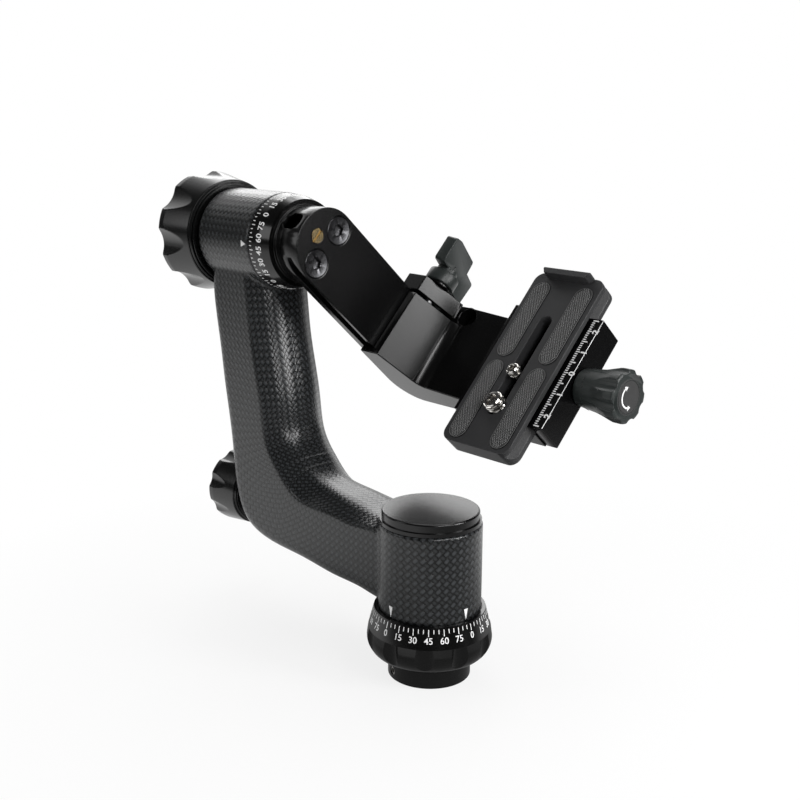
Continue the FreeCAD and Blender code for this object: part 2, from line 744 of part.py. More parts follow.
def tilt_bearing_places():
    """Back ends of the outer and inner tilt bearings."""
    outer = size["tilt_sleeve_back"] + 1
    inner = size["tilt_sleeve_front"] - size["bearing_width"] - 0.6
    return outer, inner


def build_bearings():
    bearing("pan_bearing_lower", z=lower_bearing_base())
    bearing("pan_bearing_upper", z=upper_bearing_base())
    outer, inner = tilt_bearing_places()
    bearing("tilt_bearing_outer", x=outer, z=size["tilt_height"], along="x")
    bearing("tilt_bearing_inner", x=inner, z=size["tilt_height"], along="x")


# ---- carbon arm ----------------------------------------------------------------------


def limb_sections():
    """Outer and inner edge of the limb and the height of its crown, station by station."""
    back = size["tilt_sleeve_back"]
    rise = size["tilt_height"] - leg_floor()
    crown = size["limb_crown"]
    low_crown = size["leg_crown"]

    def along(share):
        return back - back * share

    def below_axis(share):
        return size["tilt_height"] - rise * share

    def over_floor(share):
        return leg_floor() + rise * share

    def over_crest(share):
        return leg_top() + rise * share

    return [
        (along(0.007), below_axis(0), along(0.2852), below_axis(0), crown),
        (along(0.0028), below_axis(0.1355), along(0.2887), below_axis(0.1355), crown),
        (along(0.0155), below_axis(0.2677), along(0.3056), below_axis(0.2677), crown),
        (along(0.0401), below_axis(0.4065), along(0.3345), below_axis(0.4065), crown),
        (along(0.0634), below_axis(0.5387), along(0.3627), below_axis(0.5387), crown),
        (along(0.0915), over_floor(0.2895), along(0.3803), over_crest(0.1467), crown),
        (along(0.1563), over_floor(0.0747), along(0.431), over_crest(0.0892), crown),
        (along(0.3451), over_floor(0.0145), along(0.4824), over_crest(0.0463), crown),
        (along(0.6056), over_floor(0), along(0.6197), over_crest(0.0172), (crown + low_crown) / 2),
        (along(0.7042), over_floor(-0.0033), along(0.7113), over_crest(0.0079), (crown + low_crown * 3) / 4),
        (along(0.8099), over_floor(-0.0073), along(0.8099), over_crest(0.002), low_crown),
        (along(0.9155), over_floor(-0.0106), along(0.9155), over_crest(0), low_crown),
    ]


def limb_section(number, outer_x, outer_z, inner_x, inner_z, crown):
    run = inner_x - outer_x
    rise = inner_z - outer_z
    half_depth = diagonal(run, rise) / 2
    half_width = size["limb_width"] / 2
    crown_half = half_width * size["limb_crown_share"]
    outer_round = size["limb_outer_round"]
    crown_round = size["limb_crown_round"]
    sketch = doc.addObject("Sketcher::SketchObject", "limb_section_{}".format(number))
    draw_outline(sketch, [
        (-half_depth, -half_width, outer_round),
        (half_depth - crown, -half_width),
        (half_depth, -crown_half, crown_round),
        (half_depth, crown_half, crown_round),
        (half_depth - crown, half_width),
        (-half_depth, half_width, outer_round)])
    return place(sketch, x=(outer_x + inner_x) / 2, z=(outer_z + inner_z) / 2,
                 axis=(0, 1, 0), angle=-slope(run, rise))


def pan_lock_face():
    return size["tilt_sleeve_back"] + size["pan_lock_face"]


def sleeve_bottom():
    return size["dial_top_height"] - size["dial_recess"]


def build_carbon_arm():
    sections = [limb_section(number, *edges) for number, edges in enumerate(limb_sections())]
    limb = doc.addObject("Part::Loft", "limb")
    limb.Sections = sections
    limb.Solid = True
    limb.MaxDegree = 3
    base_length = base_sleeve_top() - sleeve_bottom()
    tilt_length = size["tilt_sleeve_front"] - size["tilt_sleeve_back"]
    base_sleeve = rod("base_sleeve", size["sleeve_radius"], base_length,
                      z=sleeve_bottom())
    tilt_sleeve = rod("tilt_sleeve", size["sleeve_radius"], tilt_length,
                      x=size["tilt_sleeve_back"], z=size["tilt_height"], along="x")
    bore = size["liner_radius"] + size["push_gap"]
    base_bore = rod("base_bore", bore, base_length * 1.5,
                    z=sleeve_bottom() - base_length / 4)
    tilt_bore = rod("tilt_bore", bore, tilt_length * 1.5,
                    x=size["tilt_sleeve_back"] - tilt_length / 4,
                    z=size["tilt_height"], along="x")
    rod_bore = rod("lock_rod_bore", size["lock_rod_radius"] + size["lift_gap"],
                   pan_lock_face() * -1, x=pan_lock_face(), z=pan_lock_height(),
                   along="x")
    collar_bore = rod("collar_bore", size["collar_radius"] + size["push_gap"],
                      size["collar_length"] * 2,
                      x=pan_lock_face() - size["collar_length"] + size["lift_gap"],
                      z=pan_lock_height(), along="x")
    seat_length = size["pan_lock_length"] * 2
    knob_seat = rod("knob_seat", size["pan_lock_radius"] + 0.8, seat_length,
                    x=pan_lock_face() + size["lift_gap"] - seat_length,
                    z=pan_lock_height(), along="x")
    arm = cut("carbon_arm", fuse("arm_blank", [limb, base_sleeve, tilt_sleeve]),
              [base_bore, tilt_bore, rod_bore, collar_bore, knob_seat])
    keep("carbon_arm", arm)


def build_pan_liner():
    outer = size["liner_radius"]
    seat = size["bearing_radius"]
    bore = size["liner_bore"]
    low = spindle_flange_top() + size["washer_thickness"] + size["run_gap"]
    step = size["ring_top_height"] + 1
    lower_shoulder = lower_bearing_base() + size["bearing_width"]
    top = base_sleeve_top() - 0.7
    liner = turned("pan_liner_blank", [
        (seat, low),
        (size["neck_radius"] - 0.4, low),
        (size["neck_radius"] - 0.4, step),
        (outer, step),
        (outer, top),
        (seat, top),
        (seat, upper_bearing_base()),
        (bore, upper_bearing_base()),
        (bore, lower_shoulder),
        (seat, lower_shoulder)])
    pad_hole = rod("liner_pad_hole", size["lock_rod_radius"] + size["run_gap"],
                   outer + 2, x=-outer - 2, z=pan_lock_height(), along="x")
    keep("pan_sleeve_liner", cut("pan_sleeve_liner", liner, [pad_hole]))


def build_tilt_liner():
    outer_bearing, inner_bearing = tilt_bearing_places()
    back = size["tilt_sleeve_back"] + 0.3
    front = size["tilt_sleeve_front"] - 0.4
    liner = turned("tilt_sleeve_liner", [
        (size["bearing_radius"], 0),
        (size["liner_radius"], 0),
        (size["liner_radius"], front - back),
        (size["bearing_radius"], front - back),
        (size["bearing_radius"], inner_bearing - back),
        (size["liner_bore"], inner_bearing - back),
        (size["liner_bore"], outer_bearing + size["bearing_width"] - back),
        (size["bearing_radius"], outer_bearing + size["bearing_width"] - back)],
        x=back, z=size["tilt_height"], along="x")
    keep("tilt_sleeve_liner", liner)


def build_cap():
    low = base_sleeve_top()
    rim_top = low + size["cap_rim_height"]
    top = low + size["cap_height"]
    spigot = size["bearing_radius"] - size["push_gap"]
    hollow = size["spindle_radius"] + 2.6
    keep("pan_cap", turned("pan_cap", [
        (0, top),
        (0, low + size["cap_hollow"]),
        (hollow, low + size["cap_hollow"]),
        (hollow, low - size["cap_spigot"]),
        (spigot, low - size["cap_spigot"]),
        (spigot, low),
        (size["cap_rim_radius"], low),
        (size["cap_rim_radius"], rim_top),
        (size["cap_radius"], rim_top),
        (size["cap_radius"], top, size["cap_round"])]))


# ---- knobs ---------------------------------------------------------------------------


def fluted_knob(name, radius, length, flange_radius, flange_width, depth, run, bore, phase):
    """A lobed knob along local Z: its face at zero, its back end at -length."""
    edge = radius * 0.06
    neck = radius - (radius - flange_radius) * 0.5
    blank = turned(name + "_blank", [
        (0, -length),
        (radius, -length, edge),
        (radius, -flange_width - 3, edge),
        (neck, -flange_width),
        (flange_radius, -flange_width),
        (flange_radius, 0),
        (0, 0)])
    cutter_radius = radius * 0.4
    cutter = rod(name + "_cutter", cutter_radius, length * 2)
    lean = slope(run, as_length(depth))
    bottom = radius + cutter_radius - depth
    place(cutter, x=bottom, z=-length, axis=(0, 1, 0), angle=lean)
    flutes = ring_of(name + "_flute", cutter, size["flute_count"], phase)
    screw_room = rod(name + "_bore", bore + size["push_gap"], length, z=-length + 4)
    return cut(name, blank, flutes + [screw_room])


def knob_placement(obj, x, z):
    axis, angle = ALONG["x"]
    return place(obj, x=x, z=z, axis=axis, angle=angle)


def build_pan_lock():
    radius = size["pan_lock_radius"]
    knob = fluted_knob("pan_lock_knob", radius, size["pan_lock_length"], radius - 2.0,
                       2.4, 1.4, as_length(15.5), size["lock_rod_radius"], as_length(73))
    keep("pan_lock_knob", knob_placement(knob, pan_lock_face(), pan_lock_height()))
    rod_start = pan_lock_face() - size["pan_lock_length"] + 5
    keep("pan_lock_rod", rod("pan_lock_rod", size["lock_rod_radius"],
                             pad_back() - size["push_gap"] - rod_start,
                             x=rod_start, z=pan_lock_height(), along="x"))
    keep("pan_lock_pad", rod("pan_lock_pad", size["lock_rod_radius"], size["pad_length"],
                             x=pad_back(), z=pan_lock_height(), along="x"))
    collar = turned("pan_lock_collar", ring_outline(
        size["lock_rod_radius"] + size["run_gap"], size["collar_radius"], 0,
        size["collar_length"]), x=pan_lock_face() + size["lift_gap"],
        z=pan_lock_height(), along="x")
    keep("pan_lock_collar", collar)


def pad_back():
    return -size["spindle_radius"] - size["slide_gap"] - size["pad_length"]


def tilt_lock_face():
    return size["tilt_sleeve_back"] - size["tilt_washer_space"]


def build_tilt_lock():
    radius = size["tilt_lock_radius"]
    knob = fluted_knob("tilt_lock_knob", radius, size["tilt_lock_length"], radius - 3.3,
                       3.0, 1.9, as_length(20.5), size["tilt_screw_radius"], as_length(7.5))
    keep("tilt_lock_knob", knob_placement(knob, tilt_lock_face(), size["tilt_height"]))
    screw_start = tilt_lock_face() - size["tilt_lock_length"] + 5
    keep("tilt_lock_screw", rod("tilt_lock_screw", size["tilt_screw_radius"],
                                size["tilt_sleeve_back"] + 18 - screw_start,
                                x=screw_start, z=size["tilt_height"], along="x"))
    washer = turned("tilt_pressure_washer", ring_outline(
        size["tilt_screw_radius"] + size["run_gap"], size["tilt_washer_radius"], 0,
        size["tilt_washer_space"] - size["slide_gap"] * 2),
        x=tilt_lock_face() + size["slide_gap"], z=size["tilt_height"], along="x")
    keep("tilt_pressure_washer", washer)


# ---- swing arm -----------------------------------------------------------------------


def build_tilt_shaft():
    back = size["tilt_sleeve_back"] + 0.3
    shaft = rod("tilt_shaft_bar", size["shaft_radius"], size["shaft_end"] - back, x=back,
                z=size["tilt_height"], along="x")
    thread = rod("tilt_shaft_thread", size["tilt_screw_radius"] + size["push_gap"], 21,
                 x=back - 1, z=size["tilt_height"], along="x")
    keep("tilt_shaft", cut("tilt_shaft", shaft, [thread]))


def build_tilt_hub():
    bearing_front = size["tilt_sleeve_front"] - 0.6
    core_back = size["tilt_sleeve_front"] + 0.7
    hub = turned("tilt_hub_blank", [
        (size["shaft_radius"] + size["push_gap"], bearing_front + size["push_gap"]),
        (size["spindle_shoulder"], bearing_front + size["push_gap"]),
        (size["spindle_shoulder"], core_back),
        (size["hub_core_radius"], core_back),
        (size["hub_core_radius"], size["hub_front"]),
        (0, size["hub_front"]),
        (0, size["shaft_end"]),
        (size["shaft_radius"] + size["push_gap"], size["shaft_end"])], along="x")
    start = size["plate_back"] - size["plate_screw_reach"] - 0.3
    holes = []
    for side in (-1, 1):
        holes.append(rod("hub_tapped_hole", size["plate_screw_radius"] + size["push_gap"],
                         size["hub_front"] + 1 - start, x=start,
                         y=size["plate_screw_offset"] * side,
                         z=-size["plate_screw_drop"], along="x"))
    keep_swinging("tilt_hub", cut("tilt_hub", hub, holes))


def build_tilt_dial():
    back = size["tilt_sleeve_front"] + size["lift_gap"]
    bore = size["hub_core_radius"] + size["push_gap"]
    ring = turned("tilt_dial_ring_body", [
        (bore, back),
        (size["tilt_dial_back_radius"], back),
        (size["tilt_dial_crest_radius"], size["tilt_dial_crest"], size["tilt_dial_bend"]),
        (size["tilt_dial_front_radius"], size["hub_front"]),
        (bore, size["hub_front"])], along="x")
    keep_swinging("tilt_dial_ring", group("tilt_dial_ring", [ring]))


def plate_front():
    return size["plate_back"] + size["plate_thickness"]


def plate_screw_head_back():
    return plate_front() - 0.4 - (size["plate_screw_head"] - size["plate_screw_radius"])


def groove_points(gap, side):
    """Mouth and root of the dovetail groove in one edge of the swing plate, as (x, y)."""
    half = size["plate_half_width"] + gap
    root = half - size["plate_groove_depth"]
    front_lip = plate_front() - size["plate_flange"] - gap
    front_root = front_lip - size["plate_groove_depth"]
    return half * side, root * side, front_lip, front_root


def build_hub_set_screw():
    start = size["hub_screw_start"]
    top = start + size["hub_screw_length"]
    screw = rod("hub_set_screw_rod", size["hub_screw_radius"], top - start,
                x=size["hub_screw_place"], z=start)
    socket = rod("hub_set_screw_socket", size["hub_screw_radius"] * 0.5, top - start,
                 x=size["hub_screw_place"], z=top - size["socket_depth"])
    keep_swinging("hub_set_screw", cut("hub_set_screw", screw, [socket]))


def plate_boss():
    """The boss behind the swing plate's head, with its shoulder."""
    return turned("plate_boss", [
        (0, size["hub_front"]),
        (size["boss_shoulder_radius"], size["hub_front"]),
        (size["boss_shoulder_radius"], size["boss_shoulder_front"]),
        (size["boss_radius"], size["boss_shoulder_front"]),
        (size["boss_radius"], size["plate_back"] + 1),
        (0, size["plate_back"] + 1)], along="x")


def pocket_tools():
    """The rounded pocket and the tapped hole in its floor, along local Z."""
    floor = size["screw_pocket_floor"]
    width = size["screw_pocket_half_width"]
    run = size["screw_pocket_half_length"] - width
    height = size["plate_half_width"]
    back = size["screw_pocket_centre"] - run
    front = size["screw_pocket_centre"] + run
    tools = [block("pocket_middle", (back, -width, floor), (front, width, floor + height))]
    for x in (back, front):
        tools.append(rod("pocket_end", width, height, x=x, z=floor))
    tools.append(rod("pocket_tapped_hole", size["hub_screw_radius"] + size["push_gap"],
                     height, x=size["hub_screw_place"],
                     z=size["hub_screw_start"] - size["slide_gap"]))
    return tools


def build_swing_plate():
    half = size["plate_half_width"]
    length = size["plate_drop"]
    lower = block("plate_lower", (size["plate_back"], -half, -length),
                  (plate_front(), half, as_length(0)))
    head = rod("plate_head", half, size["plate_thickness"], x=size["plate_back"], along="x")
    tools = []
    for side in (-1, 1):
        mouth, root, front_lip, front_root = groove_points(as_length(0), side)
        back_lip = size["plate_back"] + size["plate_back_flange"]
        outside = mouth + side * 2
        tools.append(prism("plate_groove", "XY_Plane", [
            (front_lip + 0.0, mouth), (front_lip + 2 * 0, outside),
            (back_lip, outside), (back_lip, root), (front_root, root)],
            -length - 1, length + 1 + size["plate_groove_start"]))
        y = size["plate_screw_offset"] * side
        tools.append(rod("plate_screw_hole", size["plate_screw_radius"] + 0.1,
                         plate_front() - size["hub_front"] + 2, x=size["hub_front"] - 1, y=y,
                         z=-size["plate_screw_drop"], along="x"))
        sink = size["plate_screw_head"] - size["plate_screw_radius"] + 0.9
        tools.append(cone("plate_countersink", size["plate_screw_radius"] + 0.1,
                          size["plate_screw_radius"] + 0.1 + sink, sink,
                          x=plate_screw_head_back() - 0.05, y=y,
                          z=-size["plate_screw_drop"], along="x"))
    tools.append(rod("stop_screw_hole", size["stop_screw_radius"] + size["push_gap"],
                     size["stop_screw_length"] + 1,
                     x=plate_front() - size["stop_screw_length"],
                     z=size["stop_screw_rise"], along="x"))
    tools += pocket_tools()
    blank = fuse("plate_blank", [lower, head, plate_boss()])
    keep_swinging("swing_plate", cut("swing_plate", blank, tools))


def build_plate_screws():
    screws = []
    drop = size["plate_screw_head"] - size["plate_screw_radius"]
    head_back = plate_screw_head_back()
    tip = size["plate_back"] - size["plate_screw_reach"]
    for side in (-1, 1):
        y = size["plate_screw_offset"] * side
        shank = rod("plate_shank", size["plate_screw_radius"], head_back - tip, x=tip, y=y,
                    z=-size["plate_screw_drop"], along="x")
        head = cone("plate_head_cone", size["plate_screw_radius"], size["plate_screw_head"],
                    drop, x=head_back, y=y, z=-size["plate_screw_drop"], along="x")
        socket = rod("plate_socket", size["plate_screw_radius"] * 0.85, 4,
                     x=plate_front() - 2.4, y=y, z=-size["plate_screw_drop"], along="x")
        screws.append(cut("plate_screw", fuse("plate_screw_blank", [shank, head]), [socket]))
    keep_swinging("swing_plate_screws", group("swing_plate_screws", screws))


def build_stop_screw():
    back = plate_front() - size["stop_screw_length"]
    length = size["stop_screw_length"] + 0.2
    rise = size["stop_screw_rise"]
    body = rod("stop_screw_body", size["stop_screw_radius"], length, x=back, z=rise,
               along="x")
    slot = block("stop_screw_slot", (plate_front() - 1.1, -size["stop_screw_radius"] - 1,
                                     rise - 0.45),
                 (plate_front() + 1, size["stop_screw_radius"] + 1, rise + 0.45))
    keep_swinging("brass_stop_screw", cut("brass_stop_screw", body, [slot]))


# ---- platform bracket and its height clamp -------------------------------------------


def bracket_front():
    return size["bracket_back"] + size["bracket_leg"]


def bracket_outline(end_x, rebate=None):
    """The bent profile, seen along local Y, as (x, z). Both limbs thicken to the bend."""
    top = -size["bracket_top"]
    upper = -size["platform_top"]
    lower = -size["platform_bottom"]
    outline = [(bracket_front(), top),
               (size["bend_x"], -size["bend_drop"], size["bend_inner_round"]),
               (size["platform_level_x"], upper)]
    if rebate is None:
        outline += [(end_x, upper)]
    else:
        outline += [(rebate, upper), (rebate, upper - size["clamp_floor"]),
                    (end_x, upper - size["clamp_floor"])]
    outline += [(end_x, lower),
                (size["bracket_back"], lower, size["bend_outer_round"]),
                (size["bracket_back"], top)]
    return outline


def clamp_seat():
    return size["platform_top"] + size["clamp_floor"]


def wing_rod(name, radius, start, end):
    """A cylinder on the wing screw's axis, from one local Y to another."""
    return rod(name, radius, as_length(end) - as_length(start), x=size["wing_x"], y=start,
               z=-size["wing_drop"], along="y")


def mount_screw_places():
    places = []
    for side_x in (-1, 1):
        for side_y in (-1, 1):
            places.append((size["qr_centre"] - 3 + size["mount_screw_spread_x"] * side_x,
                           size["mount_screw_spread_y"] * side_y))
    return places


def build_bracket():
    rebate = size["clamp_back"] - size["slide_gap"]
    blank = prism("bracket_blank", "XZ_Plane",
                  bracket_outline(size["platform_end"], rebate),
                  -size["bracket_near"], size["bracket_near"] + size["bracket_far"])
    gap = size["slide_gap"]
    mouth, root, front_lip, front_root = groove_points(gap, -1)
    open_side = size["bracket_far"] + 3
    behind = size["bracket_back"] - 3
    channel = prism("bracket_channel", "XY_Plane", [
        (plate_front() + gap, open_side), (plate_front() + gap, mouth),
        (front_lip, mouth), (front_root, root), (behind, root), (behind, open_side)],
        -size["channel_floor"], size["channel_floor"] - size["bracket_top"] + 1)
    jaw_room = block("jaw_room", (behind, size["slit_near"], -size["jaw_room_end"]),
                     (bracket_front() + 18, open_side, 1 - size["bracket_top"]))
    pocket = rod("bend_pocket", size["pocket_radius"],
                 size["pocket_floor"] - size["bracket_top"], x=size["pocket_x"],
                 y=(size["slit_near"] + size["bracket_far"]) / 2,
                 z=-size["pocket_floor"])
    tools = [channel, jaw_room, pocket,
             wing_rod("wing_tapped_hole", size["wing_stud_radius"] + size["push_gap"],
                      -6, size["bracket_far"])]
    for x, y in mount_screw_places():
        tools.append(rod("mount_hole", size["mount_screw_radius"] + 0.1, 10, x=x, y=y,
                         z=-size["platform_bottom"] - 1))
        tools.append(rod("mount_counterbore", size["mount_screw_head"] + 0.15, 3.6, x=x, y=y,
                         z=-size["platform_bottom"] - 1))
    keep_swinging("platform_bracket", cut("platform_bracket", blank, tools))


def build_height_jaw():
    gap = size["slide_gap"]
    profile = prism("jaw_profile", "XZ_Plane", bracket_outline(size["platform_end"]),
                    size["slit_near"] - 3, size["jaw_far"] - size["slit_near"] + 3)
    mouth, root, front_lip, front_root = groove_points(gap, 1)
    behind = size["bracket_back"] - 1
    ahead = bracket_front() + 16
    section = prism("jaw_section", "XY_Plane", [
        (ahead, size["jaw_near"]), (ahead, size["jaw_far"]), (behind, size["jaw_far"]),
        (behind, root), (front_root, root), (front_lip, mouth),
        (plate_front() + gap, mouth), (plate_front() + gap, size["jaw_near"])],
        -size["jaw_end"], size["jaw_end"] - size["bracket_top"])
    jaw = common("jaw_blank", profile, section)
    hole = wing_rod("jaw_hole", size["wing_stud_radius"] + 0.2, size["slit_near"],
                    size["jaw_far"] + 1)
    keep_swinging("height_jaw", cut("height_jaw", jaw, [hole]))


def build_wing_screw():
    skirt_low = size["wing_skirt_start"]
    skirt_top = skirt_low + size["wing_skirt_length"]
    skirt = wing_rod("wing_skirt", size["wing_skirt_radius"], skirt_low, skirt_top)
    neck = wing_rod("wing_neck", size["wing_neck_radius"], skirt_top - 0.5,
                    size["wing_bottom"] + 1)
    half = size["wing_half_length"]
    lobe = half + size["wing_lobe_length"]
    # outline as (x, y) = (across the axis, along the axis); its long way is turned later
    blade = prism("wing_blade", "XY_Plane", [
        (-half, size["wing_bottom"], 1.5), (-half, size["wing_top"] - 1.5, 1.5),
        (-half + 5, size["wing_top"], 3), (half - 0.5, size["wing_top"], 1.5),
        (half + 0.3, size["wing_lobe_top"] + 0.5), (lobe, size["wing_lobe_top"], 1.5),
        (lobe - 1, size["wing_lobe_bottom"], 1.5), (half - 1.5, size["wing_lobe_bottom"], 1),
        (half - 3.5, size["wing_bottom"], 1)],
        -size["wing_thickness"] / 2, size["wing_thickness"])
    blade_turned = place(group("wing_blade_at", [blade]), x=size["wing_x"],
                         z=-size["wing_drop"], axis=(0, 1, 0),
                         angle=90 + size["wing_turn_angle"])
    bore = wing_rod("wing_bore", size["wing_stud_radius"] + size["push_gap"],
                    skirt_low - 1, size["wing_bottom"] + 4)
    knob = cut("wing_knob", fuse("wing_knob_blank", [skirt, neck, blade_turned]), [bore])
    keep_swinging("wing_knob", knob)
    stud = wing_rod("wing_stud_rod", size["wing_stud_radius"], 0, size["wing_bottom"] + 3.6)
    keep_swinging("wing_stud", group("wing_stud", [stud]))
    washer = cut("wing_washer", wing_rod("wing_washer_disc", size["wing_skirt_radius"] - 1.4,
                                         size["jaw_far"] + size["push_gap"],
                                         skirt_low - size["push_gap"]),
                 [wing_rod("wing_washer_hole", size["wing_stud_radius"] + 0.2,
                           size["jaw_far"] - 1, skirt_low + 1)])
    keep_swinging("wing_washer", washer)


# ---- quick-release clamp -------------------------------------------------------------


def flange_edge(side, gap):
    """Corners of the plate's lower dovetail on one side, moved out by a gap, as (x, z)."""
    waist_z = -(size["qr_top"] + size["qr_flange"] + size["qr_waist"])
    edge_z = waist_z - size["qr_dovetail"]
    edge_x = size["qr_centre"] + (size["qr_half_width"] + gap) * side
    waist_x = edge_x - size["qr_dovetail"] * side
    return waist_x, waist_z, edge_x, edge_z


def build_clamp_body():
    gap = size["slide_gap"]
    waist_x, waist_z, edge_x, edge_z = flange_edge(-1, gap)
    floor = -size["qr_bottom"] - gap / 2
    seat = -clamp_seat()
    front = size["qr_centre"] + size["qr_half_width"] - 0.1
    blank = prism("clamp_blank", "XZ_Plane", [
        (size["clamp_back"], seat), (size["clamp_back"], -size["clamp_lip"]),
        (waist_x, -size["clamp_lip"]), (waist_x, waist_z + gap / 2),
        (edge_x, edge_z + gap / 2), (edge_x, floor), (front, floor), (front, seat)],
        -size["clamp_half_length"], size["clamp_half_length"] * 2)
    axis_z = -size["clamp_axis"]
    tools = [rod("clamp_tapped_hole", size["clamp_screw_radius"] + size["push_gap"], 60,
                 x=size["clamp_screw_tip"] - 1, z=axis_z, along="x")]
    for side in (-1, 1):
        tools.append(rod("clamp_pin_hole", size["pin_radius"] + size["run_gap"], 60,
                         x=size["pin_tip"] - 1, y=size["pin_spread"] * side, z=axis_z,
                         along="x"))
    for x, y in mount_screw_places():
        tools.append(rod("clamp_mount_hole", size["mount_screw_radius"] + size["push_gap"],
                         7, x=x, y=y, z=seat - 1))
    keep_swinging("clamp_body", cut("clamp_body", blank, tools))


def build_mount_screws():
    screws = []
    head_low = -size["platform_bottom"] + 0.2
    for x, y in mount_screw_places():
        head = rod("mount_head", size["mount_screw_head"], 2.2, x=x, y=y, z=head_low)
        shank = rod("mount_shank", size["mount_screw_radius"], 9.6, x=x, y=y,
                    z=head_low + 1.2)
        socket = rod("mount_socket", size["mount_screw_radius"] * 0.7, 2.4, x=x, y=y,
                     z=head_low - 1)
        screws.append(cut("mount_screw", fuse("mount_screw_blank", [head, shank]), [socket]))
    keep_swinging("clamp_mount_screws", group("clamp_mount_screws", screws))


def build_clamp_jaw():
    gap = size["slide_gap"]
    waist_x, waist_z, edge_x, edge_z = flange_edge(1, gap)
    seat = -clamp_seat()
    length = size["clamp_half_length"] - 0.5
    face = size["clamp_jaw_face"]
    blank = prism("clamp_jaw_blank", "XZ_Plane", [
        (edge_x, seat), (edge_x, edge_z + gap / 2), (waist_x, waist_z + gap / 2),
        (waist_x, -size["clamp_lip"]), (face, -size["clamp_lip"]), (face, seat)],
        -length, length * 2)
    axis_z = -size["clamp_axis"]
    tools = [rod("jaw_screw_hole", size["clamp_screw_radius"] + 0.2, 30, x=edge_x - 10,
                 z=axis_z, along="x")]
    for side in (-1, 1):
        tools.append(rod("jaw_pin_hole", size["pin_radius"] + size["push_gap"],
                         face - 1.4 - edge_x + 10, x=edge_x - 10,
                         y=size["pin_spread"] * side, z=axis_z, along="x"))
    keep_swinging("clamp_jaw", cut("clamp_jaw", blank, tools))
    pins = []
    for side in (-1, 1):
        pins.append(rod("guide_pin", size["pin_radius"], face - 1.6 - size["pin_tip"],
                        x=size["pin_tip"], y=size["pin_spread"] * side, z=axis_z,
                        along="x"))
    keep_swinging("clamp_guide_pins", group("clamp_guide_pins", pins))


def build_clamp_knob():
    base = size["clamp_knob_base"]
    radius = size["clamp_knob_radius"]
    length = size["clamp_knob_length"]
    start = size["clamp_jaw_face"] + size["clamp_knob_gap"]
    blank = turned("clamp_knob_blank", [
        (0, 0), (base, 0), (base + 1.2, length * 0.45, 20), (radius, length * 0.78, 4),
        (radius, length, 1.4), (0, length)])
    cutter_radius = radius * 0.32
    cutter = rod("clamp_knob_cutter", cutter_radius, length * 2)
    place(cutter, x=base + cutter_radius + 0.5, z=length * 0.2, axis=(0, 1, 0), angle=4)
    flutes = ring_of("clamp_knob_flute", cutter, size["flute_count"], as_length(10))
    bore = rod("clamp_knob_bore", size["clamp_screw_radius"] + size["push_gap"],
               length - 3, z=-1)
    knob = cut("clamp_knob_cut", blank, flutes + [bore])
    axis, angle = ALONG["x"]
    place(knob, x=start, z=-size["clamp_axis"], axis=axis, angle=angle)
    keep_swinging("clamp_knob", group("clamp_knob", [knob]))
    screw = rod("clamp_screw_rod", size["clamp_screw_radius"],
                start + length - 4.5 - size["clamp_screw_tip"], x=size["clamp_screw_tip"],
                z=-size["clamp_axis"], along="x")
    keep_swinging("clamp_screw", group("clamp_screw", [screw]))


# ---- quick-release plate -------------------------------------------------------------


def slot_tool(name, centre_x, low, high, half_width, bottom, top):
    """A long round-ended slot along local Y, as one padded outline."""
    return prism(name, "XY_Plane", [
        (centre_x - half_width, low, half_width - 0.001),
        (centre_x + half_width, low, half_width - 0.001),
        (centre_x + half_width, high, half_width - 0.001),
        (centre_x - half_width, high, half_width - 0.001)], bottom, top - bottom)


def pad_places():
    places = []
    for side in (-1, 1):
        for centre in (size["pad_low_centre"], size["pad_high_centre"]):
            places.append((size["qr_centre"] + size["pad_side"] * side, centre))
    return places


def build_qr_plate():
    top = -size["qr_top"]
    bottom = -size["qr_bottom"]
    half = size["qr_half_length"]
    right_waist, waist_z, right, edge_z = flange_edge(1, as_length(0))
    left_waist, _, left, _ = flange_edge(-1, as_length(0))
    section = prism("qr_section", "XZ_Plane", [
        (left, top), (right, top), (right, top - size["qr_flange"]),
        (right_waist, top - size["qr_flange"]), (right_waist, waist_z), (right, edge_z),
        (right, bottom), (left, bottom), (left, edge_z), (left_waist, waist_z),
        (left_waist, top - size["qr_flange"]), (left, top - size["qr_flange"])],
        -half, half * 2)
    footprint = prism("qr_footprint", "XY_Plane", [
        (left, -half, size["qr_corner"]), (right, -half, size["qr_corner"]),
        (right, half, size["qr_corner"]), (left, half, size["qr_corner"])],
        bottom - 1, top - bottom + 2)
    blank = common("qr_blank", section, footprint)
    centre = size["qr_centre"]
    tools = [
        slot_tool("qr_slot", centre, size["slot_low"], size["slot_high"],
                  size["slot_half_width"], bottom - 1, top + 1),
        slot_tool("qr_head_channel", centre, size["slot_low"] - 5, size["slot_high"] + 4,
                  size["head_channel"], bottom - 1, bottom + size["head_channel_depth"]),
        rod("qr_large_hole", size["large_screw_radius"] + 0.15, 20, x=centre,
            y=size["large_screw_place"], z=bottom - 1)]
    for x, y in pad_places():
        tools.append(slot_tool("pad_recess", x, y - size["pad_run"] / 2,
                               y + size["pad_run"] / 2,
                               size["pad_half_width"] + size["push_gap"],
                               top - size["pad_recess"], top + 1))
    for x in stop_screw_places():
        tools.append(rod("stop_hole", size["stop_screw_radius_small"] + 0.1, 20, x=x,
                         y=stop_middle(), z=bottom - 1))
        tools.append(rod("stop_counterbore", size["stop_screw_head"] + 0.1,
                         size["stop_screw_sunk"] + 1, x=x, y=stop_middle(), z=bottom - 1))
    keep_swinging("qr_plate", cut("qr_plate", blank, tools))


def stop_screw_places():
    return [size["qr_centre"] + size["stop_screw_spread"] * side for side in (-1, 1)]


def stop_middle():
    return size["qr_half_length"] - size["stop_thickness"] / 2


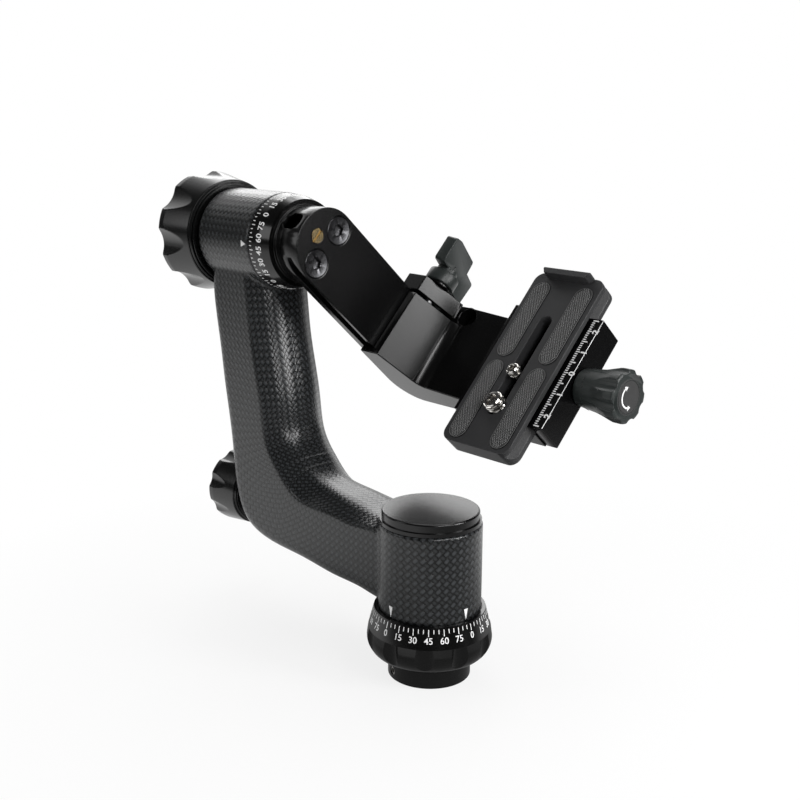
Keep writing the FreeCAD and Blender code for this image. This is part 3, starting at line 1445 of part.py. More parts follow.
def build_rubber_pads():
    pads = []
    top = -size["qr_top"]
    for x, y in pad_places():
        pads.append(slot_tool("rubber_pad", x, y - size["pad_run"] / 2,
                              y + size["pad_run"] / 2, size["pad_half_width"],
                              top - size["pad_recess"], top + size["pad_proud"]))
    keep_swinging("rubber_pads", group("rubber_pads", pads))


def build_end_stop():
    far = size["qr_half_length"]
    near = far - size["stop_thickness"]
    half = size["stop_half_length"]
    centre = size["qr_centre"]
    foot = -size["qr_top"] + size["push_gap"]
    crest = -size["qr_top"] + size["stop_rise"]
    section = prism("end_stop_section", "YZ_Plane", [
        (near, foot), (far, foot), (far, crest, 0.5), (near, crest, 0.2)],
        centre - half, half * 2)
    footprint = prism("end_stop_footprint", "XY_Plane", [
        (centre - half, far + 1), (centre - half, far - 1),
        (centre - half + size["stop_bevel"], near - 0.1),
        (centre + half - size["stop_bevel"], near - 0.1), (centre + half, far - 1),
        (centre + half, far + 1)], foot - 1, size["stop_rise"] + 2)
    shank_low = -size["qr_bottom"] + size["stop_screw_sunk"] - 1.2
    tools = []
    screws = []
    for x in stop_screw_places():
        tools.append(rod("stop_tapped_hole", size["stop_screw_radius_small"]
                         + size["push_gap"], 4, x=x, y=stop_middle(), z=foot - 1))
        head = rod("stop_head", size["stop_screw_head"], 1.1, x=x, y=stop_middle(),
                   z=shank_low)
        shank = rod("stop_shank", size["stop_screw_radius_small"],
                    foot + 2.8 - shank_low, x=x, y=stop_middle(), z=shank_low)
        screws.append(fuse("stop_screw", [head, shank]))
    blank = common("end_stop_blank", section, footprint)
    keep_swinging("end_stop", cut("end_stop", blank, tools))
    keep_swinging("end_stop_screws", group("end_stop_screws", screws))


def camera_screw(name, place_y, radius, rise, head, head_top):
    """A stud through the slot with a slotted head in the channel under the plate."""
    centre = size["qr_centre"]
    tip = -size["qr_top"] + rise
    head_low = head_top - size["head_thickness"]
    stud = rod(name + "_stud", radius, rise, x=centre, y=place_y, z=tip - rise)
    neck = rod(name + "_neck", radius - size["stud_relief"], tip - 1 - head_low - 1,
               x=centre, y=place_y, z=head_low + 1)
    disc = rod(name + "_head", head, size["head_thickness"], x=centre, y=place_y, z=head_low)
    slot = block(name + "_slot", (centre - head - 1, place_y - 0.7, head_low - 1),
                 (centre + head + 1, place_y + 0.7, head_low + 1.2))
    screw = cut(name, fuse(name + "_blank", [stud, neck, disc]), [slot])
    keep_swinging(name, screw)


def build_camera_screws():
    ceiling = -size["qr_bottom"] + size["head_channel_depth"]
    washer_low = ceiling - size["run_gap"] - size["slot_washer_thickness"]
    camera_screw("camera_screw_large", size["large_screw_place"],
                 size["large_screw_radius"], size["large_screw_rise"],
                 size["large_screw_head"], ceiling - size["slide_gap"])
    camera_screw("camera_screw_small", size["small_screw_place"],
                 size["small_screw_radius"], size["small_screw_rise"],
                 size["small_screw_head"], washer_low - size["run_gap"])
    disc = rod("slot_washer_disc", size["small_screw_head"] + 0.5,
               size["slot_washer_thickness"], x=size["qr_centre"],
               y=size["small_screw_place"], z=washer_low)
    hole = rod("slot_washer_hole", size["small_screw_radius"] + size["run_gap"], 5,
               x=size["qr_centre"], y=size["small_screw_place"], z=washer_low - 1)
    keep_swinging("slot_washer", cut("slot_washer", disc, [hole]))


# ---- the whole head ------------------------------------------------------------------


def build_all():
    for build in (build_base_plate, build_thread_bush, build_base_set_screw,
                  build_grip_ring, build_pan_dial, build_spindle, build_spindle_screws,
                  build_thrust_washer, build_retaining_nut, build_bearings,
                  build_carbon_arm, build_pan_liner, build_tilt_liner, build_cap,
                  build_pan_lock, build_tilt_lock, build_tilt_shaft, build_tilt_hub,
                  build_hub_set_screw, build_tilt_dial, build_swing_plate,
                  build_plate_screws, build_stop_screw, build_bracket, build_height_jaw,
                  build_wing_screw, build_clamp_body, build_mount_screws, build_clamp_jaw,
                  build_clamp_knob, build_qr_plate, build_rubber_pads, build_end_stop,
                  build_camera_screws):
        build()
    doc.recompute()


def check_document():
    """Stop before writing if an object failed or a sub-part has no sound shape."""
    for obj in doc.Objects:
        if {"Invalid", "Error"} & set(obj.State):
            raise RuntimeError("{} failed: {}".format(obj.Label, obj.State))
    for node, obj in parts.items():
        if obj.Shape.isNull() or not obj.Shape.isValid() or not obj.Shape.Solids:
            raise RuntimeError(node + " has no sound shape")


def export_parts():
    os.makedirs("parts", exist_ok=True)
    for node, obj in parts.items():
        obj.Shape.exportStep("parts/" + node + ".step")
        print(node, len(obj.Shape.Solids), round(obj.Shape.Volume, 1))


build_all()
check_document()
export_parts()
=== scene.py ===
import json
import math

import bmesh
import bpy
import numpy as np
from mathutils import Matrix, Vector

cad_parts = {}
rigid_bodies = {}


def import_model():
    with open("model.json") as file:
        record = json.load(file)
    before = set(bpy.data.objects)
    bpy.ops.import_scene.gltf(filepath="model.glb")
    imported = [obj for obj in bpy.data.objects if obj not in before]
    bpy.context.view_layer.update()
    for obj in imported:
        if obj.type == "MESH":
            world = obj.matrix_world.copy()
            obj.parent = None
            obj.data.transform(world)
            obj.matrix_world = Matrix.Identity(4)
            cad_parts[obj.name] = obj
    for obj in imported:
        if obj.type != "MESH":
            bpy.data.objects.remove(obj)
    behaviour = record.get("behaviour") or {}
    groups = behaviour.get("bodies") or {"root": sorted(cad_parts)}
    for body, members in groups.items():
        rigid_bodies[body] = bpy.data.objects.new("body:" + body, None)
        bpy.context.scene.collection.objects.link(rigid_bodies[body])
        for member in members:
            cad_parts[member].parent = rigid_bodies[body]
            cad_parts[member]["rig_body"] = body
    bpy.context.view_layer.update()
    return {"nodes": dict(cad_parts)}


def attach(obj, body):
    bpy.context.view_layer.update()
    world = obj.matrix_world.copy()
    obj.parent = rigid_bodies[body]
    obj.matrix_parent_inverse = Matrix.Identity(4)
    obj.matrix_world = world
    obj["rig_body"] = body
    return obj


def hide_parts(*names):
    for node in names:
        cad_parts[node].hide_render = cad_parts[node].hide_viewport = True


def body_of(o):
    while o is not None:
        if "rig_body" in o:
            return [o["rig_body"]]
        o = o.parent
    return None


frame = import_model()
nodes = frame["nodes"]
mm = 0.001
scene = bpy.context.scene
scene.view_settings.view_transform = "Standard"

# where things are on the head, in mm, from the middle of the mounting face
place = {
    "tiltHeight": 185.5,
    "tiltRest": 46.9,       # degrees the swing arm hangs at
    "sleeveRadius": 23.0,
    "limbHalf": 18.5,       # half the limb's thickness, across Y
}
swingTurn = (Matrix.Translation((0, 0, place["tiltHeight"] * mm))
             @ Matrix.Rotation(math.radians(place["tiltRest"]), 4, "X"))
# stands a turned blank, drawn up Z, along the head's X
alongX = Matrix.Rotation(math.radians(90), 4, "Y")


# small helpers

def hexColour(code):
    out = []
    for i in (0, 2, 4):
        v = int(code[i:i + 2], 16) / 255
        out.append(v / 12.92 if v <= 0.04045 else ((v + 0.055) / 1.055) ** 2.4)
    return (*out, 1.0)


def addNode(tree, kind, settings=None, links=None):
    node = tree.nodes.new(kind)
    for key, value in (settings or {}).items():
        if isinstance(key, int) or key in node.inputs:
            node.inputs[key].default_value = value
        else:
            setattr(node, key, value)
    for key, source in (links or {}).items():
        tree.links.new(source, node.inputs[key])
    return node


def linked(name, data):
    obj = bpy.data.objects.new(name, data)
    scene.collection.objects.link(obj)
    return obj


def baked(obj):
    # the object as its modifiers leave it, kept as a plain mesh
    mesh = bpy.data.meshes.new_from_object(
        obj.evaluated_get(bpy.context.evaluated_depsgraph_get()))
    bpy.data.objects.remove(obj)
    return mesh


def swingPoint(co):
    # a point in the frame of the swing arm, which hangs down its Z
    return swingTurn.inverted() @ co


def meshObject(name, mesh, material, body):
    obj = linked(name, mesh)
    mesh.materials.clear()
    mesh.materials.append(material)
    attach(obj, body)
    return obj


def smoothByAngle(mesh, degrees):
    mesh.polygons.foreach_set("use_smooth", [True] * len(mesh.polygons))
    mesh.set_sharp_from_angle(angle=math.radians(degrees))


def tidyMesh(name, build):
    # welds a bmesh, turns its faces outward and hands it back as a mesh
    bmesh.ops.remove_doubles(build, verts=build.verts, dist=0.000002)
    bmesh.ops.recalc_face_normals(build, faces=build.faces)
    mesh = bpy.data.meshes.new(name)
    build.to_mesh(mesh)
    build.free()
    return mesh


def turnedBlank(name, profile, steps=96):
    # a profile of (radius, height) in mm turned about Z; a third number gives flat sides
    build = bmesh.new()
    rings = []
    for radius, height, *sides in profile:
        ring = []
        for k in range(steps if radius else 1):
            angle = 2 * math.pi * k / steps
            reach = radius
            if sides:
                half = math.pi / sides[0]
                reach = radius / math.cos(angle % (2 * half) - half)
            ring.append(build.verts.new((reach * math.cos(angle) * mm,
                                         reach * math.sin(angle) * mm, height * mm)))
        rings.append(ring)
    for low, high in zip(rings, rings[1:]):
        for k in range(steps):
            corners = [low[k % len(low)], low[(k + 1) % len(low)],
                       high[(k + 1) % len(high)], high[k % len(high)]]
            corners = list(dict.fromkeys(corners))
            if len(corners) > 2:
                build.faces.new(corners)
    return tidyMesh(name, build)


def joined(name, meshes):
    build = bmesh.new()
    for mesh in meshes:
        build.from_mesh(mesh)
    mesh = bpy.data.meshes.new(name)
    build.to_mesh(mesh)
    build.free()
    return mesh


def workOut(tree, known, steps):
    # each step: the value it makes, the operation, then the values or numbers it works on
    for made, operation, *terms in steps:
        node = addNode(tree, "ShaderNodeMath", {"operation": operation})
        for index, term in enumerate(terms):
            if isinstance(term, str):
                tree.links.new(known[term], node.inputs[index])
            else:
                node.inputs[index].default_value = term
        known[made] = node.outputs[0]
    return known


def ruleTree(name, inputs):
    # a geometry tree with named inputs; gives the tree and its inputs' sockets
    tree = bpy.data.node_groups.new(name, "GeometryNodeTree")
    tree.interface.new_socket("Blank", in_out="INPUT", socket_type="NodeSocketGeometry")
    for label, kind in inputs.items():
        tree.interface.new_socket(label, in_out="INPUT", socket_type="NodeSocket" + kind)
    tree.interface.new_socket("Finish", in_out="INPUT", socket_type="NodeSocketMaterial")
    tree.interface.new_socket("Piece", in_out="OUTPUT", socket_type="NodeSocketGeometry")
    entry = addNode(tree, "NodeGroupInput")
    return tree, {socket.name: socket for socket in entry.outputs if socket.name}


def closeRule(tree, given, geometry):
    real = addNode(tree, "GeometryNodeRealizeInstances", links={"Geometry": geometry})
    coat = addNode(tree, "GeometryNodeSetMaterial",
                   links={"Geometry": real.outputs[0], "Material": given["Finish"]})
    addNode(tree, "NodeGroupOutput", links={0: coat.outputs[0]})


def grown(name, tree, values, blank=None):
    # runs a rule with its inputs set and keeps the outcome as a plain mesh
    obj = linked(name, blank or bpy.data.meshes.new(name))
    rule = obj.modifiers.new("rule", "NODES")
    rule.node_group = tree
    for item in tree.interface.items_tree:
        if item.item_type == "SOCKET" and item.in_out == "INPUT" and item.name in values:
            rule[item.identifier] = values[item.name]
    build = bmesh.new()
    build.from_mesh(baked(obj))
    return tidyMesh(name, build)


# camera, at the height and distance of a tabletop product shot
cameraValues = {"at": (345.9, -337.6, 247.3), "heading": 47.328, "pitch": 14.089,
                "roll": 0.288, "lens": 52.37}


def makeCamera(v):
    az, pitch, roll = (math.radians(v[k]) for k in ("heading", "pitch", "roll"))
    forward = Vector((-math.sin(az) * math.cos(pitch), math.cos(az) * math.cos(pitch),
                      -math.sin(pitch)))
    right = Vector((math.cos(az), math.sin(az), 0))
    up = right.cross(forward)
    camRight = right * math.cos(roll) + up * math.sin(roll)
    camUp = up * math.cos(roll) - right * math.sin(roll)
    turn = Matrix((camRight, camUp, -forward)).transposed().to_4x4()
    data = bpy.data.cameras.new("camera")
    data.lens = v["lens"]
    data.sensor_width = 36
    data.clip_start = 0.01
    cam = linked("camera", data)
    cam.matrix_world = Matrix.Translation(Vector(v["at"]) * mm) @ turn
    scene.camera = cam


makeCamera(cameraValues)
print("camera placed")


# materials
def newMaterial(name):
    mat = bpy.data.materials.new(name)
    mat.use_nodes = True
    tree = mat.node_tree
    tree.nodes.clear()
    shader = addNode(tree, "ShaderNodeBsdfPrincipled")
    addNode(tree, "ShaderNodeOutputMaterial", links={"Surface": shader.outputs["BSDF"]})
    return mat, tree, shader


def grainyMetal(name, dark, light, grainSize, smoothest, roughest, metal, specular, relief):
    # one recipe for blasted, turned and dyed metals: fine grain in gloss and bump
    mat, tree, shader = newMaterial(name)
    coords = addNode(tree, "ShaderNodeTexCoord")
    grain = addNode(tree, "ShaderNodeTexNoise",
                    {"Scale": 1 / (grainSize * mm), "Detail": 3.0, "Roughness": 0.6},
                    {"Vector": coords.outputs["Object"]})
    cloud = addNode(tree, "ShaderNodeTexNoise", {"Scale": 1 / (14 * mm), "Detail": 2.0},
                    {"Vector": coords.outputs["Object"]})
    tint = addNode(tree, "ShaderNodeMix",
                   {"data_type": "RGBA", 6: hexColour(dark), 7: hexColour(light)},
                   {0: cloud.outputs["Fac"]})
    rough = addNode(tree, "ShaderNodeMapRange", {"To Min": smoothest, "To Max": roughest},
                    {"Value": grain.outputs["Fac"]})
    bump = addNode(tree, "ShaderNodeBump",
                   {"Strength": relief, "Distance": grainSize * mm * 0.15},
                   {"Height": grain.outputs["Fac"]})
    tree.links.new(tint.outputs[2], shader.inputs["Base Color"])
    tree.links.new(rough.outputs["Result"], shader.inputs["Roughness"])
    tree.links.new(bump.outputs["Normal"], shader.inputs["Normal"])
    shader.inputs["Metallic"].default_value = metal
    shader.inputs["Specular IOR Level"].default_value = specular
    return mat


# darkest and lightest tone, grain in mm, least and most roughness, metal, specular, relief
coats = {
    # bead-blasted, dyed aluminium: soft black with a faint grey lift in its highlights
    "black_anodised_aluminium": ("050506", "090909", 0.35, 0.19, 0.25, 0.0, 0.45, 0.1),
    # the same dye over a coarser blast: a flatter charcoal
    "matte_anodised_aluminium": ("2e2e2f", "363637", 0.4, 0.34, 0.44, 0.0, 0.3, 0.2),
    # turned before dyeing, so it stays glossy and shows sharp edge lights
    "turned_anodised_aluminium": ("040404", "080808", 0.5, 0.13, 0.19, 0.0, 0.5, 0.04),
    # lock knobs: satin over a turned blank
    "satin_anodised_knob": ("060707", "0b0c0c", 0.4, 0.18, 0.24, 0.0, 0.6, 0.06),
    # soft-touch moulded grip: grey-green black with a low sheen
    "soft_touch_plastic": ("222625", "2a2f2e", 0.25, 0.34, 0.42, 0.0, 0.5, 0.2),
    # machined stainless screws, smoked by handling
    "stainless_steel": ("5c5c5d", "727273", 0.3, 0.2, 0.3, 1.0, 0.5, 0.1),
    # nickel and chrome plate on the camera screws: bright with dark creases
    "plated_steel": ("c9c6c2", "dcdad6", 0.4, 0.08, 0.16, 1.0, 0.5, 0.05),
    # free-cutting brass, a little dulled
    "turned_brass": ("b39d70", "cbb68a", 0.3, 0.16, 0.26, 1.0, 0.5, 0.08),
    # plain steel and bare aluminium inside the sleeves: pale and even
    "ground_steel": ("8d8d8f", "a4a4a6", 0.3, 0.22, 0.34, 1.0, 0.5, 0.1),
    "bare_aluminium": ("a9a9ab", "bdbdbf", 0.35, 0.3, 0.42, 1.0, 0.5, 0.15),
    # washers: milky white and waxy
    "acetal_plastic": ("d6d3ca", "e0ddd5", 0.3, 0.4, 0.5, 0.0, 0.5, 0.1),
    # hardened screws: darker and duller than the stainless ones
    "blued_steel": ("4c4c4e", "5c5c5e", 0.25, 0.22, 0.32, 1.0, 0.5, 0.12),
    # the same screws' socket and rim: pale, and bright from any side, a painted highlight
    "pale_highlight_steel": ("9c9a97", "bab8b4", 0.3, 0.25, 0.35, 0.45, 0.5, 0.1),
    # the badge in the knob's end: smoother and greyer than the grip round it
    "moulded_badge_plastic": ("333333", "3a3a3a", 0.3, 0.45, 0.55, 0.0, 0.3, 0.1),
    # screen-printed white ink in the engraved marks
    "white_marking_paint": ("e4e4e4", "f2f2f2", 0.3, 0.45, 0.55, 0.0, 0.4, 0.1),
}
(anodised, anodisedMatte, anodisedGloss, anodisedKnob, softGrip, stainless, chrome, brass,
 bareSteel, bareAluminium, acetal, screwSteel, highlightSteel, badgePlastic, whiteInk) = (
    grainyMetal(name, *recipe) for name, recipe in coats.items())


def knurledRubber(name, v):
    # moulded rubber: the tips of the knurl painted grey as a painted highlight, black down between
    # them as painted shade
    mat, tree, shader = newMaterial(name)
    coords = addNode(tree, "ShaderNodeTexCoord")
    out = swingTurn.to_3x3() @ Vector((0, 0, 1))
    level = addNode(tree, "ShaderNodeVectorMath", {"operation": "DOT_PRODUCT", 1: tuple(out)},
                    {0: coords.outputs["Object"]})
    axis = out.dot(swingTurn.translation)
    height = addNode(tree, "ShaderNodeMapRange", {
        "From Min": axis + v["low"] * mm, "From Max": axis + v["high"] * mm},
        {"Value": level.outputs["Value"]})
    tint = addNode(tree, "ShaderNodeValToRGB", links={"Fac": height.outputs["Result"]})
    tint.color_ramp.elements[0].color = hexColour(v["gap"])
    tint.color_ramp.elements[1].color = hexColour(v["tip"])
    tree.links.new(tint.outputs["Color"], shader.inputs["Base Color"])
    shader.inputs["Roughness"].default_value = v["rough"]
    shader.inputs["Specular IOR Level"].default_value = 0.45
    return mat


# the knurl's tips painted grey as a painted highlight, the ground between them painted black as
# painted shade
padRubber = knurledRubber("moulded_rubber", {"low": -69.62, "high": -69.4, "gap": "020202",
                                             "tip": "787878", "rough": 0.45})


def carbonWeave(name, v):
    # plain weave laid at 45 degrees under a satin resin coat; the UV map is in metres
    mat, tree, shader = newMaterial(name)
    uv = addNode(tree, "ShaderNodeUVMap", {"uv_map": "weave"})
    turned = addNode(tree, "ShaderNodeMapping", {
        "Rotation": (0, 0, math.radians(45)),
        "Scale": (1 / (v["tow"] * mm), 1 / (v["tow"] * mm), 1)},
        {"Vector": uv.outputs["UV"]})
    split = addNode(tree, "ShaderNodeSeparateXYZ", links={"Vector": turned.outputs["Vector"]})
    known = {"a": split.outputs["X"], "b": split.outputs["Y"]}
    for axis in "ab":
        workOut(tree, known, [
            ("floor" + axis, "FLOOR", axis), ("inside" + axis, "FRACT", axis),
            ("turn" + axis, "MULTIPLY", "inside" + axis, math.pi),
            ("wave" + axis, "SINE", "turn" + axis)])
    # a tow is round across and only slightly crowned along its float
    for across, along in ("ab", "ba"):
        workOut(tree, known, [
            ("crown" + across, "MULTIPLY_ADD", "wave" + along, 0.3, 0.7),
            ("round" + across, "POWER", "wave" + across, 0.6),
            ("tow" + across, "MULTIPLY", "round" + across, "crown" + across)])
    # the two sets of tows change places square by square; the second set is painted darker, a
    # painted shade for its weaker sheen
    workOut(tree, known, [
        ("both", "ADD", "floora", "floorb"), ("over", "PINGPONG", "both", 1.0),
        ("shadedSecondSet", "MULTIPLY_ADD", "over", v["dim"] - 1, 1.0)])
    weave = addNode(tree, "ShaderNodeMix", {"data_type": "FLOAT"},
                    {0: known["over"], 2: known["towa"], 3: known["towb"]})
    known["weave"] = weave.outputs[0]
    workOut(tree, known, [("lit", "MULTIPLY", "weave", "shadedSecondSet")])
    fibres = addNode(tree, "ShaderNodeTexNoise", {"Scale": 1 / (0.5 * mm), "Detail": 2.0},
                     {"Vector": uv.outputs["UV"]})
    # the crowns of the tows are painted lighter than the dark between them: painted sheen and
    # painted shade
    shade = addNode(tree, "ShaderNodeValToRGB", links={"Fac": known["lit"]})
    shade.color_ramp.elements[0].color = hexColour(v["gap"])
    shade.color_ramp.elements[0].position = 0.4
    shade.color_ramp.elements[1].color = hexColour(v["fibre"])
    shade.color_ramp.elements[1].position = 0.95
    rough = addNode(tree, "ShaderNodeMapRange", {"To Min": v["rough"][0], "To Max": v["rough"][1]},
                    {"Value": fibres.outputs["Fac"]})
    bump = addNode(tree, "ShaderNodeBump", {"Strength": v["bump"], "Distance": v["depth"] * mm},
                   {"Height": weave.outputs[0]})
    tree.links.new(shade.outputs["Color"], shader.inputs["Base Color"])
    tree.links.new(rough.outputs["Result"], shader.inputs["Roughness"])
    tree.links.new(bump.outputs["Normal"], shader.inputs["Normal"])
    shader.inputs["Specular IOR Level"].default_value = v["specular"]
    return mat


# woven carbon fibre under satin resin: dark tows whose crowns are painted lighter row by row, a
# painted sheen
carbonValues = {"tow": 2.4, "gap": "0d0e0e", "fibre": "333537", "rough": (0.2, 0.28),
                "bump": 0.8, "depth": 0.1, "specular": 0.5, "dim": 0.7}
carbon = carbonWeave("woven_carbon_fibre", carbonValues)
print("materials mixed")


# carbon arm: an L-shaped limb run into two sleeves
armValues = {"voxel": 0.75, "smoothSteps": 9}

# outer and inner edge of the limb along its run, x and z in mm
limbStations = [
    (-141.0, 185.5, -101.5, 185.5), (-141.6, 165.0, -101.0, 165.0),
    (-139.8, 145.0, -98.6, 145.0), (-136.3, 124.0, -94.5, 124.0),
    (-133.0, 104.0, -90.5, 104.0), (-129.0, 78.0, -88.0, 92.4),
    (-119.8, 45.5, -80.8, 83.7), (-93.0, 36.4, -73.5, 77.2),
    (-56.0, 34.2, -54.0, 72.8), (-42.0, 33.7, -41.0, 71.4),
    (-27.0, 33.1, -27.0, 70.5), (-12.0, 32.6, -12.0, 70.2)]


def limbCoordinates(points, samples=340):
    # distance along the limb's middle line, and how far round its girth, in metres
    stations = np.array(limbStations) * mm
    outer = stations[:, :2]
    inner = stations[:, 2:]
    fine = np.linspace(0, len(stations) - 1, samples)
    spread = [np.interp(fine, range(len(stations)), side[:, k])
              for side in (outer, inner) for k in (0, 1)]
    outer = np.stack(spread[:2], 1)
    inner = np.stack(spread[2:], 1)
    middle = (outer + inner) / 2
    run = np.r_[0, np.cumsum(np.linalg.norm(np.diff(middle, axis=0), axis=1))]
    flat = points[:, [0, 2]]
    near = np.array([np.argmin(((middle - p) ** 2).sum(1)) for p in flat])
    across = inner[near] - outer[near]
    width = np.linalg.norm(across, axis=1)
    across /= width[:, None]
    drop = ((inner[near] - flat) * across).sum(1)
    alongTangent = np.stack([across[:, 1], -across[:, 0]], 1)
    slip = ((flat - middle[near]) * alongTangent).sum(1)
    y = points[:, 1]
    half = place["limbHalf"] * mm
    girth = np.where(drop < width / 2, np.abs(y) + drop, 2 * half - np.abs(y) + drop)
    return run[near] + slip, np.sign(y) * girth


def weaveMap(mesh):
    # lays the cloth: straight along the limb, round about each sleeve
    count = len(mesh.vertices)
    co = np.zeros(count * 3, np.float32)
    mesh.vertices.foreach_get("co", co)
    co = co.reshape(-1, 3).astype(float)
    radius = place["sleeveRadius"] * mm
    axisZ = place["tiltHeight"] * mm
    baseDistance = np.hypot(co[:, 0], co[:, 1])
    tiltDistance = np.hypot(co[:, 1], co[:, 2] - axisZ)
    onBase = baseDistance < radius * 1.03
    onTilt = (tiltDistance < radius * 1.03) & (co[:, 0] < -0.09)
    baseUV = np.stack([np.arctan2(co[:, 0], -co[:, 1]) * radius, co[:, 2]], 1)
    tiltUV = np.stack([np.arctan2(co[:, 1], axisZ - co[:, 2]) * radius, co[:, 0]], 1)
    run, girth = limbCoordinates(co)
    limbUV = np.stack([girth, run], 1)
    loops = np.zeros(len(mesh.loops), np.int32)
    mesh.loops.foreach_get("vertex_index", loops)
    starts = np.zeros(len(mesh.polygons), np.int32)
    totals = np.zeros(len(mesh.polygons), np.int32)
    mesh.polygons.foreach_get("loop_start", starts)
    mesh.polygons.foreach_get("loop_total", totals)
    uv = np.zeros((len(loops), 2), np.float32)
    turn = 2 * math.pi * radius
    for start, total in zip(starts, totals):
        own = loops[start:start + total]
        if onBase[own].all():
            corner = baseUV[own].copy()
        elif onTilt[own].all():
            corner = tiltUV[own].copy()
        else:
            uv[start:start + total] = limbUV[own]
            continue
        if np.ptp(corner[:, 0]) > turn / 2:     # a face across the cloth's overlap
            corner[corner[:, 0] < 0, 0] += turn
        uv[start:start + total] = corner
    layer = mesh.uv_layers.new(name="weave")
    layer.data.foreach_set("uv", uv.ravel())


def makeArm(v):
    mesh = nodes["carbon_arm"].data.copy()
    obj = linked("carbonArm", mesh)
    weld = bmesh.new()
    weld.from_mesh(mesh)
    bmesh.ops.remove_doubles(weld, verts=weld.verts, dist=0.00001)
    weld.to_mesh(mesh)
    weld.free()
    remesh = obj.modifiers.new("skin", "REMESH")
    remesh.mode = "VOXEL"
    remesh.voxel_size = v["voxel"] * mm
    relax = obj.modifiers.new("relax", "SMOOTH")
    relax.factor = 0.5
    relax.iterations = v["smoothSteps"]
    moulded = baked(obj)
    moulded.name = "carbonArm"
    weaveMap(moulded)
    smoothByAngle(moulded, 60)
    arm = meshObject("carbonArm", moulded, carbon, "arm")
    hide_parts("carbon_arm")


makeArm(armValues)
print("arm moulded")


# machined pieces: the CAD body with its edges broken
# the leg ends a little lower than its blank, and its sloped front follows, in mm
legTop = {"nodes": ("platform_bracket", "height_jaw"), "blank": 53.1, "drop": 55.2,
          "front": -67.0, "forward": 0.95}


def softEdged(node, name, material, width, angle=28, segments=2):
    build = bmesh.new()
    build.from_mesh(nodes[node].data)
    bmesh.ops.remove_doubles(build, verts=build.verts, dist=0.00002)
    for vertex in build.verts:
        at = swingPoint(vertex.co)
        if node in legTop["nodes"] and -at.z < legTop["blank"] * mm:
            at.z = -legTop["drop"] * mm
            if at.x > legTop["front"] * mm:
                at.x += legTop["forward"] * mm
            vertex.co = swingTurn @ at
    bmesh.ops.dissolve_limit(build, angle_limit=math.radians(1.0), verts=build.verts,
                             edges=build.edges, use_dissolve_boundaries=False)
    mesh = bpy.data.meshes.new(name)
    build.to_mesh(mesh)
    build.free()
    obj = linked(name, mesh)
    bevel = obj.modifiers.new("edges", "BEVEL")
    bevel.width = width * mm
    bevel.segments = segments
    bevel.limit_method = "ANGLE"
    bevel.angle_limit = math.radians(angle)
    bevel.use_clamp_overlap = False
    bevel.harden_normals = True
    finished = baked(obj)
    finished.name = name
    piece = meshObject(name, finished, material, body_of(nodes[node])[0])
    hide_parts(node)
    return piece


edgeBreaks = {
    "platform_bracket": ("platformBracket", anodised, 0.5),
    "swing_plate": ("swingPlate", anodised, 0.3),
    "clamp_body": ("clampBody", anodised, 0.3),
    "clamp_jaw": ("clampJaw", anodised, 0.6),
    "height_jaw": ("heightJaw", anodised, 0.5),
    "qr_plate": ("cameraPlate", anodisedMatte, 0.35),
    "end_stop": ("endStop", anodisedMatte, 0.3),
}
machined = {}
for node, (name, material, width) in edgeBreaks.items():
    machined[name] = softEdged(node, name, material, width)
print("edges broken")


def brightenEdge(piece, material, direction, low, high):
    # a white line on the broken edge that faces this way: the bare cut chamfer, painted white as a
    # painted highlight
    piece.data.materials.append(material)
    aim = (swingTurn.to_3x3() @ Vector(direction)).normalized()
    for face in piece.data.polygons:
        at = swingPoint(face.center)
        inside = all(low[k] * mm <= at[k] <= high[k] * mm for k in range(3))
        if inside and face.normal.dot(aim) > 0.93:
            face.material_index = 1


# the jaw's outer top chamfer painted white: bare cut metal and a painted highlight
brightenEdge(machined["clampJaw"], whiteInk, (1, 0, 1), (31.5, -29.4, -75), (33, 29.4, -73))


